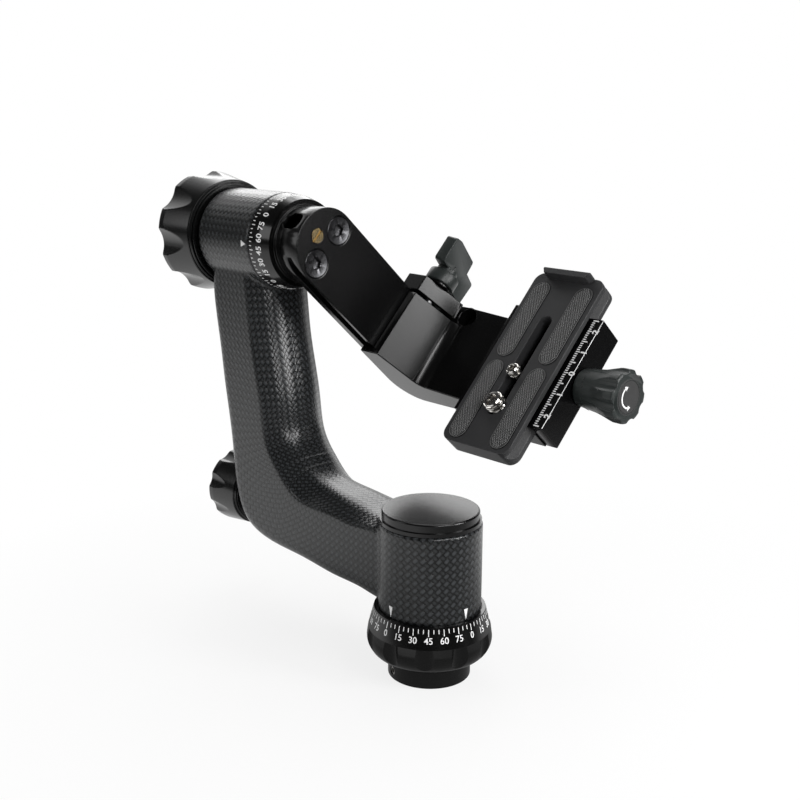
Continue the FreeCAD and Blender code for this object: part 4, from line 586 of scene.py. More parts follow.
# lock knobs: a turned blank cut by leaning flutes
def knobFlutes():
    tree, given = ruleTree("knobFlutes", {
        "Flutes": "Float", "Phase": "Float", "Radius": "Float", "Cutter": "Float",
        "Depth": "Float", "Run": "Float", "Blend": "Float"})
    position = addNode(tree, "GeometryNodeInputPosition")
    split = addNode(tree, "ShaderNodeSeparateXYZ", links={"Vector": position.outputs[0]})
    known = {"x": split.outputs["X"], "y": split.outputs["Y"], "z": split.outputs["Z"]}
    known.update(given)
    # the cutter's circle, seen along the knob, trims every ring that stands outside it
    workOut(tree, known, [
        ("xx", "MULTIPLY", "x", "x"), ("rr", "MULTIPLY_ADD", "y", "y", "xx"),
        ("radius", "SQRT", "rr"), ("safe", "MAXIMUM", "radius", 0.000001),
        ("angle", "ARCTAN2", "y", "x"), ("fromPhase", "SUBTRACT", "angle", "Phase"),
        ("share", "DIVIDE", "fromPhase", 2 * math.pi), ("turns", "MULTIPLY", "share", "Flutes"),
        ("nearest", "ROUND", "turns"), ("off", "SUBTRACT", "turns", "nearest"),
        ("offTurn", "DIVIDE", "off", "Flutes"), ("delta", "MULTIPLY", "offTurn", 2 * math.pi),
        ("along", "DIVIDE", "z", "Run"), ("left", "SUBTRACT", 1.0, "along"),
        ("deep", "MULTIPLY", "Depth", "left"), ("reach", "ADD", "Radius", "Cutter"),
        ("centre", "SUBTRACT", "reach", "deep"), ("sine", "SINE", "delta"),
        ("cosine", "COSINE", "delta"), ("aside", "MULTIPLY", "centre", "sine"),
        ("aside2", "MULTIPLY", "aside", "aside"), ("cutter2", "MULTIPLY", "Cutter", "Cutter"),
        ("inside", "SUBTRACT", "cutter2", "aside2"), ("clear", "MAXIMUM", "inside", 0.0),
        ("half", "SQRT", "clear"), ("front", "MULTIPLY", "centre", "cosine"),
        ("trimmed", "SUBTRACT", "front", "half"),
        ("final", "SMOOTH_MIN", "radius", "trimmed", "Blend"),
        ("scale", "DIVIDE", "final", "safe"), ("newX", "MULTIPLY", "x", "scale"),
        ("newY", "MULTIPLY", "y", "scale")])
    moved = addNode(tree, "ShaderNodeCombineXYZ",
                    links={"X": known["newX"], "Y": known["newY"], "Z": known["z"]})
    shaped = addNode(tree, "GeometryNodeSetPosition",
                     links={"Geometry": given["Blank"], "Position": moved.outputs[0]})
    closeRule(tree, given, shaped.outputs[0])
    return tree


fluteRule = knobFlutes()
# lengths in mm from the knob's back; the face is at "length"
lockKnobs = {
    "tilt_lock_knob": {"name": "tiltLockKnob", "radius": 30.1, "length": 23.2, "face": -144.3,
                       "height": 185.5, "phase": 7.5, "depth": 3.0, "run": 240.0,
                       "flange": 26.8, "round": 1.3, "bore": 4.15, "lip": 0.9},
    "pan_lock_knob": {"name": "panLockKnob", "radius": 19.0, "length": 20.4, "face": -126.4,
                      "height": 53.6, "phase": 28.0, "depth": 1.4, "run": 54.0,
                      "flange": 17.2, "round": 0.8, "bore": 3.65, "lip": 0.0},
}


def makeLockKnob(node, v):
    radius, face, edge = v["radius"], v["length"], v["round"]
    profile = [(0, 0.9), (radius * 0.42, 0.9), (radius * 0.45, 0.15), (radius * 0.47, 0)]
    profile += [(r, 0) for r in np.linspace(radius * 0.8, radius - edge, 5)]
    profile += [(radius - edge + edge * math.sin(t), edge - edge * math.cos(t))
                for t in (0.35, 0.7, 1.05, 1.3)]
    # the lobes taper to the flange, where the flutes run out
    taper, neck, flange = face * 0.18, face - 1.5, v["flange"]
    profile += [(radius, z) for z in np.linspace(edge, taper, 6)]
    profile += [(radius + (flange - radius) * t, taper + (neck - taper) * t)
                for t in np.linspace(0.04, 1.0, 34)]
    # two fine bright lips with a groove between them, round the face
    profile += [(flange - 0.35, face - 1.1), (flange - 0.7, face - 1.1),
                (flange - 0.75, face - 0.6), (flange - 0.9, face - 0.45),
                (flange - 1.3, face - 0.1), (flange - 1.6, face - 0.1),
                (flange - 1.6, face - 0.7), (flange - 2.0, face - 0.7),
                (flange - 2.05, face + v["lip"] - 0.15), (flange - 2.2, face + v["lip"]),
                (flange - 3.0, face + v["lip"]), (flange - 3.1, face)]
    bore = v["bore"]
    profile += [(bore + 0.3, face), (bore, face - 0.3), (bore, 4.2), (0, 4.2)]
    blank = turnedBlank(v["name"] + "Blank", profile, 384)
    mesh = grown(v["name"], fluteRule, {
        "Flutes": 8.0, "Phase": math.radians(v["phase"]), "Radius": radius * mm,
        "Cutter": radius * 0.4 * mm, "Depth": v["depth"] * mm, "Run": v["run"] * mm,
        "Blend": 0.1 * mm}, blank)
    mesh.transform(Matrix.Translation(((v["face"] - v["length"]) * mm, 0, v["height"] * mm))
                   @ alongX)
    smoothByAngle(mesh, 24)
    knob = meshObject(v["name"], mesh, anodisedKnob, body_of(nodes[node])[0])
    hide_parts(node)


for node, values in lockKnobs.items():
    makeLockKnob(node, values)
print("lock knobs fluted")


# marks: ticks, numbers and pointers in white paint
def tickRow():
    tree, given = ruleTree("tickRow", {
        "Count": "Int", "Step": "Float", "Width": "Float", "Short": "Float", "Long": "Float",
        "Every": "Float", "Longest": "Float", "Most": "Float", "Proud": "Float"})
    points = addNode(tree, "GeometryNodePoints", links={"Count": given["Count"]})
    index = addNode(tree, "GeometryNodeInputIndex")
    known = dict(given)
    known["index"] = index.outputs[0]
    workOut(tree, known, [
        ("x", "MULTIPLY", "index", "Step"),
        ("every", "MODULO", "index", "Every"), ("isLong", "LESS_THAN", "every", 0.5),
        ("most", "MODULO", "index", "Most"), ("isLongest", "LESS_THAN", "most", 0.5),
        ("more", "SUBTRACT", "Long", "Short"), ("first", "MULTIPLY_ADD", "isLong", "more", "Short"),
        ("further", "SUBTRACT", "Longest", "first"),
        ("length", "MULTIPLY_ADD", "isLongest", "further", "first")])
    at = addNode(tree, "ShaderNodeCombineXYZ", links={"X": known["x"]})
    placed = addNode(tree, "GeometryNodeSetPosition",
                     links={"Geometry": points.outputs[0], "Position": at.outputs[0]})
    bar = addNode(tree, "GeometryNodeMeshCube", {"Size": (1, 1, 1)})
    hung = addNode(tree, "GeometryNodeTransform", {"Translation": (0, -0.5, 0)},
                   {"Geometry": bar.outputs[0]})
    size = addNode(tree, "ShaderNodeCombineXYZ",
                   links={"X": given["Width"], "Y": known["length"], "Z": given["Proud"]})
    row = addNode(tree, "GeometryNodeInstanceOnPoints", None, {
        "Points": placed.outputs[0], "Instance": hung.outputs[0], "Scale": size.outputs[0]})
    closeRule(tree, given, row.outputs[0])
    return tree


tickRule = tickRow()


def drawWord(word, height, stretch, weight, proud, sliced=0):
    # a flat word, its foot on y 0 and its middle on x 0, in metres
    curve = bpy.data.curves.new("word", "FONT")
    curve.body = word
    curve.align_x = "CENTER"
    curve.offset = weight
    curve.extrude = 0.5
    curve.resolution_u = 4
    obj = linked("word", curve)
    bpy.context.view_layer.update()
    mesh = baked(obj)
    size = height / 0.7 * mm
    mesh.transform(Matrix.Diagonal((size * stretch, size, proud * 2 * mm, 1)))
    if sliced:          # cut across, so that the word can bend with a rounded dial
        build = bmesh.new()
        build.from_mesh(mesh)
        for k in range(1, int(height / sliced)):
            bmesh.ops.bisect_plane(build, geom=build.verts[:] + build.edges[:] + build.faces[:],
                                   plane_co=(0, k * sliced * mm, 0), plane_no=(0, 1, 0))
        build.to_mesh(mesh)
        build.free()
    return mesh


def wrapped(mesh, turn, dial, lift=0.0):
    # x of the drawing runs round the dial, y up its axis, z stands out of it
    heights = [h * mm for h, r in dial["profile"]]
    radii = [r * mm for h, r in dial["profile"]]
    for vertex in mesh.vertices:
        x, y, z = vertex.co
        y += lift * mm
        angle = turn + x / (dial["drawnAt"] * mm)
        reach = float(np.interp(y, heights, radii)) + z
        vertex.co = (reach * math.cos(angle), reach * math.sin(angle), y)
    return mesh


# heights along the dial's axis, in mm; the tilt dial's axis points away from the platform
panDial = {"profile": [(22.6, 27.6), (32.0, 25.0)], "drawnAt": 26.0, "top": 31.2,
           "foot": 25.2, "number": 2.7, "stretch": 1.0, "weight": 0.008, "proud": 0.05,
           "width": 0.34, "short": 1.75, "long": 2.8, "zero": -90.0}
tiltDial = {"profile": [(87.0, 20.6), (91.5, 21.75), (93.6, 22.15), (100.1, 22.7)],
            "drawnAt": 22.2, "top": 99.5, "foot": 91.7, "number": 3.2, "stretch": 0.95,
            "weight": 0.012, "proud": 0.09, "width": 0.36, "short": 1.3, "long": 2.2,
            "zero": -141.1}


def makeDial(name, body, dial, standing):
    step = dial["drawnAt"] * math.radians(5) * mm
    ticks = grown(name + "Ticks", tickRule, {
        "Count": 72, "Step": step, "Width": dial["width"] * mm, "Short": dial["short"] * mm,
        "Long": dial["long"] * mm, "Every": 3.0, "Longest": dial["long"] * mm, "Most": 3.0,
        "Proud": 0.1 * mm})
    zero = math.radians(dial["zero"])
    parts = [wrapped(ticks, zero, dial, dial["top"])]
    for index in range(24):
        word = str(index % 6 * 15)
        flat = drawWord(word, dial["number"], dial["stretch"], dial["weight"], dial["proud"], 0.5)
        parts.append(wrapped(flat, zero + math.radians(15 * index), dial, dial["foot"]))
    mesh = joined(name, parts)
    mesh.transform(standing)
    return meshObject(name, mesh, whiteInk, body)


def pointer(width, length, proud):
    # a thin wedge with its tip on the origin, pointing down
    build = bmesh.new()
    for z in (-proud, proud):
        build.faces.new([build.verts.new((x * mm, y * mm, z * mm)) for x, y in
                         ((0, 0), (width / 2, length), (-width / 2, length))])
    low, high = build.faces
    for k in range(3):
        build.faces.new((low.verts[k], low.verts[(k + 1) % 3],
                         high.verts[(k + 1) % 3], high.verts[k]))
    return tidyMesh("pointer", build)


tiltStanding = Matrix(((0, 0, -1, 0), (1, 0, 0, 0), (0, -1, 0, place["tiltHeight"] * mm),
                       (0, 0, 0, 1)))
makeDial("panDialMarks", body_of(nodes["pan_dial_ring"])[0], panDial, Matrix.Identity(4))
makeDial("tiltDialMarks", body_of(nodes["tilt_dial_ring"])[0], tiltDial, tiltStanding)
sleeve = {"profile": [(0, place["sleeveRadius"]), (200, place["sleeveRadius"])],
          "drawnAt": place["sleeveRadius"]}
pointers = [wrapped(pointer(2.1, 4.9, 0.12), math.radians(turn), sleeve, 32.6)
            for turn in (-91.5, -1.5)]
tiltPointer = wrapped(pointer(2.9, 3.5, 0.12), math.radians(-180), sleeve, 102.1)
tiltPointer.transform(tiltStanding)
meshObject("sleevePointers", joined("sleevePointers", pointers + [tiltPointer]), whiteInk, "arm")
print("dials marked")


# ruler along the clamp jaw, 25 ticks either way
rulerValues = {"step": 1.13, "start": 27.4, "short": 1.5, "long": 2.2, "longest": 3.1,
               "width": 0.55, "number": 2.9, "weight": 0.035, "face": -74.0}


def makeRuler(v):
    ticks = grown("rulerTicks", tickRule, {
        "Count": 51, "Step": v["step"] * mm, "Width": v["width"] * mm, "Short": v["short"] * mm,
        "Long": v["long"] * mm, "Every": 5.0, "Longest": v["longest"] * mm, "Most": 10.0,
        "Proud": 0.1 * mm})
    # the first of the 51 ticks is at -25; moving by 5 keeps the long ones on the tens
    ticks.transform(Matrix.Translation((-25 * v["step"] * mm, 0, 0)))
    parts = [ticks]
    foot = 0.3 - v["longest"] - v["number"]
    for at in (-20, -10, 0, 10, 20):
        flat = drawWord(str(abs(at) // 10), v["number"], 1.05, v["weight"], 0.05)
        flat.transform(Matrix.Translation((at * v["step"] * mm, foot * mm, 0)))
        parts.append(flat)
    mesh = joined("rulerMarks", parts)
    # drawing x runs along the jaw and drawing y back towards the plate
    lay = Matrix(((0, -1, 0, v["start"] * mm), (1, 0, 0, 0), (0, 0, 1, v["face"] * mm),
                  (0, 0, 0, 1)))
    mesh.transform(swingTurn @ lay)
    meshObject("rulerMarks", mesh, whiteInk, body_of(nodes["clamp_jaw"])[0])


makeRuler(rulerValues)
print("ruler drawn")


# rubber pads: a moulded stadium with a rhombic knurl
padValues = {"halfWidth": 5.0, "halfRun": 21.25, "side": 12.5, "centre": 6.0,
             "middles": (-24.2, 20.6), "top": -69.5, "depth": 0.95, "across": 1.1,
             "along": 1.45, "rise": 0.42, "margin": 0.45}


def knurlRule():
    tree, given = ruleTree("padKnurl", {
        "Across": "Float", "Along": "Float", "Half Width": "Float", "Half Run": "Float",
        "Rise": "Float", "Level": "Float"})
    grid = addNode(tree, "GeometryNodeMeshGrid", {"Size X": 90.0, "Size Y": 90.0,
                                                  "Vertices X": 91, "Vertices Y": 91})
    turned = addNode(tree, "GeometryNodeTransform", {"Rotation": (0, 0, math.radians(45))},
                     {"Geometry": grid.outputs["Mesh"]})
    known = dict(given)
    workOut(tree, known, [
        ("wide", "MULTIPLY", "Across", math.sqrt(0.5)),
        ("tall", "MULTIPLY", "Along", math.sqrt(0.5))])
    spread = addNode(tree, "ShaderNodeCombineXYZ", {"Z": 1.0},
                     {"X": known["wide"], "Y": known["tall"]})
    lattice = addNode(tree, "GeometryNodeTransform", None,
                      {"Geometry": turned.outputs[0], "Scale": spread.outputs[0]})
    # points outside the rounded outline go: distance from the middle line's nearest point
    position = addNode(tree, "GeometryNodeInputPosition")
    split = addNode(tree, "ShaderNodeSeparateXYZ", links={"Vector": position.outputs[0]})
    known["x"], known["y"] = split.outputs["X"], split.outputs["Y"]
    workOut(tree, known, [
        ("straight", "SUBTRACT", "Half Run", "Half Width"), ("far", "ABSOLUTE", "y"),
        ("past", "SUBTRACT", "far", "straight"), ("over", "MAXIMUM", "past", 0.0),
        ("xx", "MULTIPLY", "x", "x"), ("away2", "MULTIPLY_ADD", "over", "over", "xx"),
        ("away", "SQRT", "away2"), ("outside", "GREATER_THAN", "away", "Half Width")])
    kept = addNode(tree, "GeometryNodeDeleteGeometry", {"domain": "POINT"}, {
        "Geometry": lattice.outputs[0], "Selection": known["outside"]})
    lifted = addNode(tree, "ShaderNodeCombineXYZ", links={"Z": given["Level"]})
    raised = addNode(tree, "GeometryNodeSetPosition",
                     links={"Geometry": kept.outputs[0], "Offset": lifted.outputs[0]})
    stud = addNode(tree, "GeometryNodeMeshCone", {
        "Vertices": 4, "Radius Top": 0.2, "Radius Bottom": 0.6, "Depth": 1.0})
    size = addNode(tree, "ShaderNodeCombineXYZ",
                   links={"X": known["wide"], "Y": known["tall"], "Z": given["Rise"]})
    studs = addNode(tree, "GeometryNodeInstanceOnPoints", None, {
        "Points": raised.outputs[0], "Instance": stud.outputs["Mesh"],
        "Scale": size.outputs[0]})
    both = addNode(tree, "GeometryNodeJoinGeometry")
    tree.links.new(studs.outputs[0], both.inputs[0])
    tree.links.new(given["Blank"], both.inputs[0])
    closeRule(tree, given, both.outputs[0])
    return tree


def stadium(halfWidth, halfRun, levels, arc=14):
    # a rounded bar standing on Z, from (inset, height) pairs
    build = bmesh.new()
    rings = []
    for inset, height in levels:
        ring = []
        radius = halfWidth - inset
        for side in (1, -1):
            for k in range(arc + 1):
                angle = math.pi * k / arc if side > 0 else math.pi * (1 + k / arc)
                ring.append(build.verts.new((
                    radius * math.cos(angle) * mm,
                    (radius * math.sin(angle) + side * (halfRun - halfWidth)) * mm,
                    height * mm)))
        rings.append(ring)
    build.faces.new(rings[0])
    build.faces.new(rings[-1])
    for low, high in zip(rings, rings[1:]):
        for k in range(len(low)):
            n = (k + 1) % len(low)
            build.faces.new((low[k], low[n], high[n], high[k]))
    return tidyMesh("stadium", build)


def makePads(v):
    rule = knurlRule()
    pads = []
    for side in (-1, 1):
        for middle in v["middles"]:
            blank = stadium(v["halfWidth"], v["halfRun"], [
                (0.0, -v["depth"]), (0.0, -0.08), (0.08, 0.0), (0.3, 0.0), (0.4, -0.08)])
            pad = grown("pad", rule, {
                "Across": v["across"] * mm, "Along": v["along"] * mm,
                "Half Width": (v["halfWidth"] - v["margin"] - 0.35) * mm,
                "Half Run": (v["halfRun"] - v["margin"] - 0.35) * mm,
                "Rise": v["rise"] * mm, "Level": -0.2 * mm}, blank)
            pad.transform(Matrix.Translation(((v["centre"] + side * v["side"]) * mm,
                                              middle * mm, v["top"] * mm)))
            pads.append(pad)
    mesh = joined("knurledPads", pads)
    mesh.transform(swingTurn)
    smoothByAngle(mesh, 20)
    pads = meshObject("knurledPads", mesh, padRubber, body_of(nodes["rubber_pads"])[0])
    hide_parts("rubber_pads")


makePads(padValues)
print("pads knurled")


# camera screws: rolled threads, a hex socket in the tip, a head below; the head's slot is left out
# and a round recess is turned in its foot
def threadRule():
    tree, given = ruleTree("screwThread", {
        "Radius": "Float", "Tip Radius": "Float", "Pitch": "Float", "Turns": "Float",
        "Ridge": "Float"})
    known = dict(given)
    workOut(tree, known, [("height", "MULTIPLY", "Pitch", "Turns")])
    coil = addNode(tree, "GeometryNodeCurveSpiral", {"Resolution": 36}, {
        "Rotations": given["Turns"], "Start Radius": given["Radius"],
        "End Radius": given["Tip Radius"], "Height": known["height"]})
    ridge = addNode(tree, "GeometryNodeCurvePrimitiveCircle", {"Resolution": 8},
                    {"Radius": given["Ridge"]})
    swept = addNode(tree, "GeometryNodeCurveToMesh", {"Fill Caps": True}, {
        "Curve": coil.outputs[0], "Profile Curve": ridge.outputs[0]})
    both = addNode(tree, "GeometryNodeJoinGeometry")
    tree.links.new(swept.outputs[0], both.inputs[0])
    tree.links.new(given["Blank"], both.inputs[0])
    closeRule(tree, given, both.outputs[0])
    return tree


cameraScrews = {
    "camera_screw_large": {"name": "cameraScrewLarge", "radius": 4.76, "at": -24.8,
                           "rise": 4.5, "pitch": 1.59, "turns": 2.55, "socket": 2.2,
                           "head": 7.0},
    "camera_screw_small": {"name": "cameraScrewSmall", "radius": 3.17, "at": -7.2,
                           "rise": 3.5, "pitch": 1.27, "turns": 2.45, "socket": 1.45,
                           "head": 6.0},
}


def makeCameraScrew(node, v, rule):
    # heights from the swing axis, which the plate hangs below
    tip = -69.8 + v["rise"]
    ridge = v["pitch"] * 0.27
    root = v["radius"] - ridge * 1.95
    neck = v["radius"] - 0.5
    low = min(swingPoint(c.co).z for c in nodes[node].data.vertices) / mm
    top = low + 2.4
    blank = turnedBlank(v["name"] + "Blank", [
        (0, low), (1.4, low), (1.4, low + 1.0), (v["head"] - 2.0, low + 1.0),
        (v["head"] - 2.0, low), (v["head"] - 0.4, low), (v["head"], low + 0.4),
        (v["head"], top - 0.3), (v["head"] - 0.3, top), (neck, top), (neck, -70.4),
        (root, -70.0), (root, tip - 0.5), (root - 0.35, tip - 0.05), (root - 0.6, tip),
        (v["socket"] + 0.25, tip), (v["socket"], tip - 0.25, 6), (v["socket"], tip - 2.2, 6),
        (0, tip - 2.6)], 96)
    mesh = grown(v["name"], rule, {
        "Radius": (v["radius"] - ridge) * mm, "Tip Radius": (v["radius"] - ridge * 1.12) * mm,
        "Pitch": v["pitch"] * mm, "Turns": v["turns"], "Ridge": ridge * mm})
    mesh.transform(Matrix.Translation((0, 0, (tip - v["pitch"] * v["turns"] - 0.35) * mm)))
    mesh = joined(v["name"], [mesh, blank])
    mesh.transform(swingTurn @ Matrix.Translation((6.0 * mm, v["at"] * mm, 0)))
    smoothByAngle(mesh, 32)
    screw = meshObject(v["name"], mesh, chrome, body_of(nodes[node])[0])
    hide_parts(node)


threads = threadRule()
for node, values in cameraScrews.items():
    makeCameraScrew(node, values, threads)
print("camera screws threaded")


# screws in the swing plate, with hex sockets; the slotted brass one keeps its CAD part
def makePlateScrews():
    parts = []
    for side in (-1, 1):
        blank = turnedBlank("plateScrew", [
            (0, -91.5), (2.2, -91.5), (2.5, -91.1), (2.5, -74.3), (6.3, -70.5),
            (6.4, -70.3), (6.2, -70.16), (5.9, -70.22), (2.95, -70.25),
            (2.5, -70.5, 6), (2.5, -72.0, 6), (0, -72.3)], 96)
        for face in blank.polygons:     # the socket and the rim get the pale steel: a painted highlight
            reach = face.center.xy.length / mm
            face.material_index = 1 if reach < 2.85 or reach > 6.15 else 0
        blank.transform(swingTurn @ Matrix.Translation((0, side * 9.7 * mm, -0.5 * mm)) @ alongX)
        parts.append(blank)
    mesh = joined("plateScrews", parts)
    smoothByAngle(mesh, 30)
    screws = meshObject("plateScrews", mesh, screwSteel, body_of(nodes["swing_plate"])[0])
    # the pale steel paints a highlight on the socket and the rim
    screws.data.materials.append(highlightSteel)
    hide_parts("swing_plate_screws")


makePlateScrews()
print("plate screws set")


# clamp knob: a soft grip with an inset badge and a turning arrow
badgeValues = {"face": 57.2, "axis": -84.5, "radius": 7.7, "arrow": 4.8, "width": 0.75,
               "head": 1.2, "from": 145.0, "to": 285.0}


def makeClampKnob(v):
    knob = softEdged("clamp_knob", "clampKnob", softGrip, 0.25, 40, 3)
    for vertex in knob.data.vertices:       # the rim sits a little below the badge
        if vertex.co.x > (v["face"] - 0.3) * mm:
            vertex.co.x -= 0.25 * mm
    smoothByAngle(knob.data, 32)
    body = body_of(nodes["clamp_knob"])[0]
    at = swingTurn @ Matrix.Translation((v["face"] * mm, 0, v["axis"] * mm))
    badge = turnedBlank("knobBadge", [
        (0, -1.0), (v["radius"] + 0.35, -1.0), (v["radius"] + 0.35, -0.2),
        (v["radius"] + 0.1, -0.08), (v["radius"] - 0.1, -0.08), (v["radius"] - 0.25, -0.3),
        (v["radius"] - 0.45, -0.3), (v["radius"] - 0.6, -0.1), (v["radius"] - 1.2, -0.06),
        (0, -0.06)], 96)
    badge.transform(at @ alongX)
    smoothByAngle(badge, 30)
    meshObject("knobBadge", badge, badgePlastic, body)

    # the arrow is drawn in the plane of the knob's end: y along the jaw, z up from it
    build = bmesh.new()
    steps = 40
    edges = []
    for k in range(steps + 1):
        angle = math.radians(v["from"] + (v["to"] - v["from"]) * k / steps)
        edges.append([build.verts.new((x * mm, r * math.cos(angle) * mm,
                                       -r * math.sin(angle) * mm))
                      for r in (v["arrow"] - v["width"] / 2, v["arrow"] + v["width"] / 2)
                      for x in (-0.12, -0.01)])
    for one, two in zip(edges, edges[1:]):
        for p, q in ((0, 1), (1, 3), (3, 2), (2, 0)):
            build.faces.new((one[p], one[q], two[q], two[p]))
    build.faces.new([edges[0][k] for k in (0, 1, 3, 2)])
    build.faces.new([edges[-1][k] for k in (0, 1, 3, 2)])
    for end, sense in ((v["from"], -1), (v["to"], 1)):      # a head at each end
        angle = math.radians(end)
        tip = math.radians(end + sense * 22)
        corners = [(r * math.cos(turn), r * math.sin(turn)) for r, turn in
                   ((v["arrow"] - v["head"], angle), (v["arrow"] + v["head"], angle),
                    (v["arrow"], tip))]
        sides = [[build.verts.new((x * mm, y * mm, -z * mm)) for y, z in corners]
                 for x in (-0.12, -0.01)]
        for side in sides:
            build.faces.new(side)
        for k in range(3):
            n = (k + 1) % 3
            build.faces.new((sides[0][k], sides[0][n], sides[1][n], sides[1][k]))
    arrow = tidyMesh("knobArrow", build)
    arrow.transform(at)
    meshObject("knobArrow", arrow, whiteInk, body)


makeClampKnob(badgeValues)
softEdged("wing_knob", "wingKnob", softGrip, 0.4, 24, 3)
smoothByAngle(bpy.data.objects["wingKnob"].data, 30)
print("grips moulded")

finishes = (
    (anodised, "pan_cap pan_lock_collar wing_washer"),
    (anodisedGloss, "base_plate grip_ring pan_dial_ring tilt_hub tilt_dial_ring"),
    (stainless, "spindle_screws hub_set_screw clamp_mount_screws wing_stud clamp_guide_pins"
                " clamp_screw end_stop_screws slot_washer"),
    (chrome, "base_set_screw"),
    (brass, "pan_lock_pad brass_stop_screw"),
    (bareSteel, "pan_spindle pan_retaining_nut pan_bearing_lower pan_bearing_upper"
                " tilt_bearing_outer tilt_bearing_inner pan_lock_rod tilt_lock_screw tilt_shaft"),
    (bareAluminium, "thread_bush pan_sleeve_liner tilt_sleeve_liner"),
    (acetal, "thrust_washer tilt_pressure_washer"),
)
for material, names in finishes:
    for node in names.split():
        mesh = nodes[node].data
        for index in range(len(mesh.materials)):
            mesh.materials[index] = material
print("finishes laid")


# studio: pale floor, white surround, large soft lamps
studio = {"floorHalf": 3.0, "floorColour": "f2f2f2", "surround": 0.3, "room": 0.05,
          "backdrop": (-0.85, 0.5, 0.15), "backdropEdge": (0.55, 0.82),
          "near": (0.08, 0.8), "far": (0.3, 1.0),
          "tableEdge": (0.05, 0.3),
          # how white the table shows in gloss at these distances from the head, in metres
          "table": ((0.08, 0.25), (0.2, 1.0), (0.6, 1.0), (1.2, 0.35)),
          "lamps": [
              # name, where it stands, what it faces, width, height, watts, lean in degrees
              ("sideLamp", (0.73, 0.35, 0.35), (-0.1, 0.0, 0.14), 0.24, 0.42, 3.6, 0),
              ("softLamp", (0.78, 0.15, 0.4), (-0.05, 0.0, 0.14), 0.36, 0.36, 0.75, 0),
              ("keyLamp", (0.72, -0.17, 0.53), (-0.05, 0.0, 0.12), 0.14, 0.8, 3.6, -43),
              ("rimLamp", (-0.8, 0.55, 0.65), (-0.1, 0.0, 0.17), 0.6, 0.5, 2.4, 0),
              ("topLamp", (-0.25, 0.3, 0.95), (-0.05, 0.0, 0.1), 0.6, 0.6, 2.6, 0),
              ("frontLamp", (-0.5, -0.8, 0.5), (-0.05, 0.0, 0.12), 0.4, 0.4, 1.0, 0),
          ]}


def rays(tree):
    # the camera's rays, and the ones that gloss, metal and glass send on
    path = addNode(tree, "ShaderNodeLightPath")
    mirrored = addNode(tree, "ShaderNodeMath", {"operation": "MAXIMUM"},
                       {0: path.outputs["Is Glossy Ray"], 1: path.outputs["Is Transmission Ray"]})
    return path.outputs["Is Camera Ray"], mirrored.outputs[0]


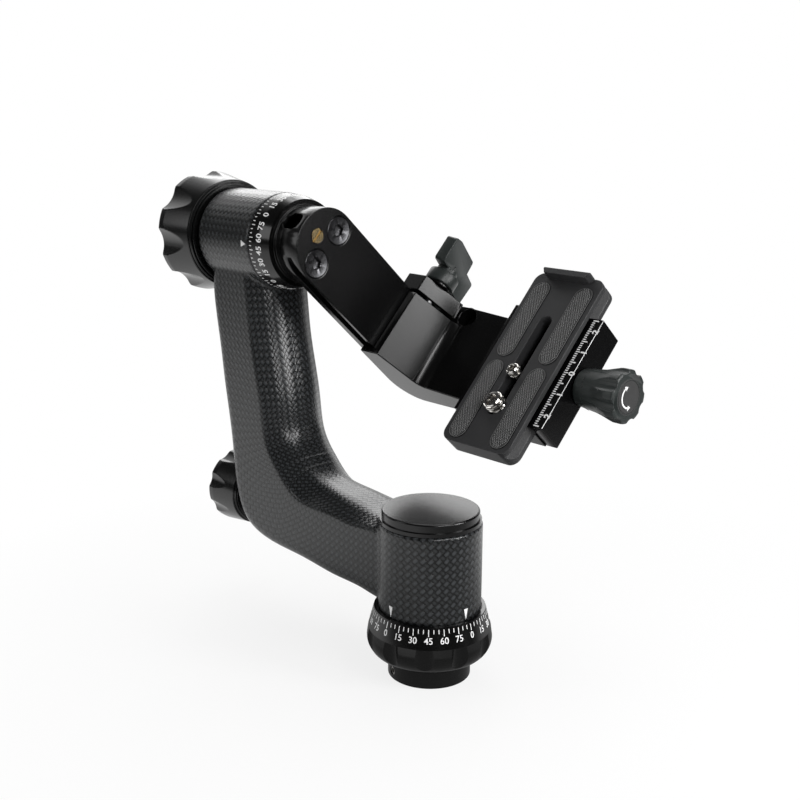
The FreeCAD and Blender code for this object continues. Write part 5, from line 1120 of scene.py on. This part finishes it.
def makeStudio(v):
    half = v["floorHalf"]
    mesh = bpy.data.meshes.new("studioFloor")
    mesh.from_pydata([(-half, -half, 0), (half, -half, 0), (half, half, 0), (-half, half, 0)],
                     [], [(0, 1, 2, 3)])
    floor = linked("studioFloor", mesh)
    mat, tree, shader = newMaterial("studio_paper")
    fibre = addNode(tree, "ShaderNodeTexNoise", {"Scale": 900.0})
    bump = addNode(tree, "ShaderNodeBump", {"Strength": 0.05, "Distance": 0.0001},
                   {"Height": fibre.outputs["Fac"]})
    tree.links.new(bump.outputs["Normal"], shader.inputs["Normal"])
    shader.inputs["Base Color"].default_value = hexColour(v["floorColour"])
    shader.inputs["Roughness"].default_value = 0.9
    # further from the head the paper runs out into the white surround; in gloss and metal
    # it shows as a lit table that ends at its edge
    seen, mirrored = rays(tree)
    coords = addNode(tree, "ShaderNodeTexCoord")
    away = addNode(tree, "ShaderNodeVectorMath", {"operation": "LENGTH"},
                   {0: coords.outputs["Object"]})
    fade = addNode(tree, "ShaderNodeMapRange", {
        "From Min": v["near"][0], "From Max": v["far"][0], "To Min": v["near"][1],
        "To Max": v["far"][1]}, {"Value": away.outputs["Value"]})
    split = addNode(tree, "ShaderNodeSeparateXYZ", links={"Vector": coords.outputs["Object"]})
    beside = addNode(tree, "ShaderNodeMapRange", {
        "From Min": v["tableEdge"][0], "From Max": v["tableEdge"][1], "To Min": 1.0,
        "To Max": v["room"]}, {"Value": split.outputs["X"]})
    reach = v["table"][-1][0]
    outward = addNode(tree, "ShaderNodeMapRange", {"From Max": reach},
                      {"Value": away.outputs["Value"]})
    table = addNode(tree, "ShaderNodeValToRGB", links={"Fac": outward.outputs["Result"]})
    while len(table.color_ramp.elements) < len(v["table"]):
        table.color_ramp.elements.new(0.5)
    for element, (distance, white) in zip(table.color_ramp.elements, v["table"]):
        element.position = distance / reach
        element.color = (white, white, white, 1)
    inGloss = addNode(tree, "ShaderNodeMath", {"operation": "MULTIPLY"},
                      {0: beside.outputs["Result"], 1: table.outputs["Color"]})
    share = addNode(tree, "ShaderNodeMath", {"operation": "MULTIPLY_ADD"},
                    {0: seen, 1: fade.outputs["Result"], 2: mirrored})
    strength = addNode(tree, "ShaderNodeMix", {"data_type": "FLOAT", 2: 1.0},
                       {0: mirrored, 3: inGloss.outputs[0]})
    glow = addNode(tree, "ShaderNodeEmission", {"Color": (1, 1, 1, 1)},
                   {"Strength": strength.outputs[0]})
    mix = addNode(tree, "ShaderNodeMixShader", None,
                  {0: share.outputs[0], 1: shader.outputs["BSDF"], 2: glow.outputs[0]})
    output = [n for n in tree.nodes if n.type == "OUTPUT_MATERIAL"][0]
    tree.links.new(mix.outputs[0], output.inputs["Surface"])
    mesh.materials.append(mat)

    world = bpy.data.worlds.new("studioSurround")
    world.use_nodes = True
    tree = world.node_tree
    tree.nodes.clear()
    # white all round for the eye; gloss and metal show the white paper behind the head
    # and the dim room on the other side
    seen, mirrored = rays(tree)
    coords = addNode(tree, "ShaderNodeTexCoord")
    toPaper = addNode(tree, "ShaderNodeVectorMath", {"operation": "DOT_PRODUCT",
                      1: tuple(Vector(v["backdrop"]).normalized())},
                      {0: coords.outputs["Generated"]})
    paper = addNode(tree, "ShaderNodeMapRange", {
        "interpolation_type": "SMOOTHSTEP", "From Min": v["backdropEdge"][0],
        "From Max": v["backdropEdge"][1], "To Min": v["room"], "To Max": 1.0},
        {"Value": toPaper.outputs["Value"]})
    lit = addNode(tree, "ShaderNodeMix", {"data_type": "FLOAT", 2: v["surround"]},
                  {0: mirrored, 3: paper.outputs["Result"]})
    strength = addNode(tree, "ShaderNodeMix", {"data_type": "FLOAT", 3: 1.0},
                       {0: seen, 2: lit.outputs[0]})
    back = addNode(tree, "ShaderNodeBackground", {"Color": (1, 1, 1, 1)},
                   {"Strength": strength.outputs[0]})
    addNode(tree, "ShaderNodeOutputWorld", links={"Surface": back.outputs[0]})
    scene.world = world

    for name, at, aim, width, height, watts, lean in v["lamps"]:
        data = bpy.data.lights.new(name, "AREA")
        data.shape = "RECTANGLE"
        data.size = width
        data.size_y = height
        data.energy = watts
        lamp = linked(name, data)
        lamp.location = at
        facing = (Vector(aim) - Vector(at)).to_track_quat("-Z", "Y").to_matrix()
        lamp.rotation_euler = (facing @ Matrix.Rotation(math.radians(lean), 3, "Z")).to_euler()


makeStudio(studio)
print("studio lit")

bpy.context.view_layer.update()
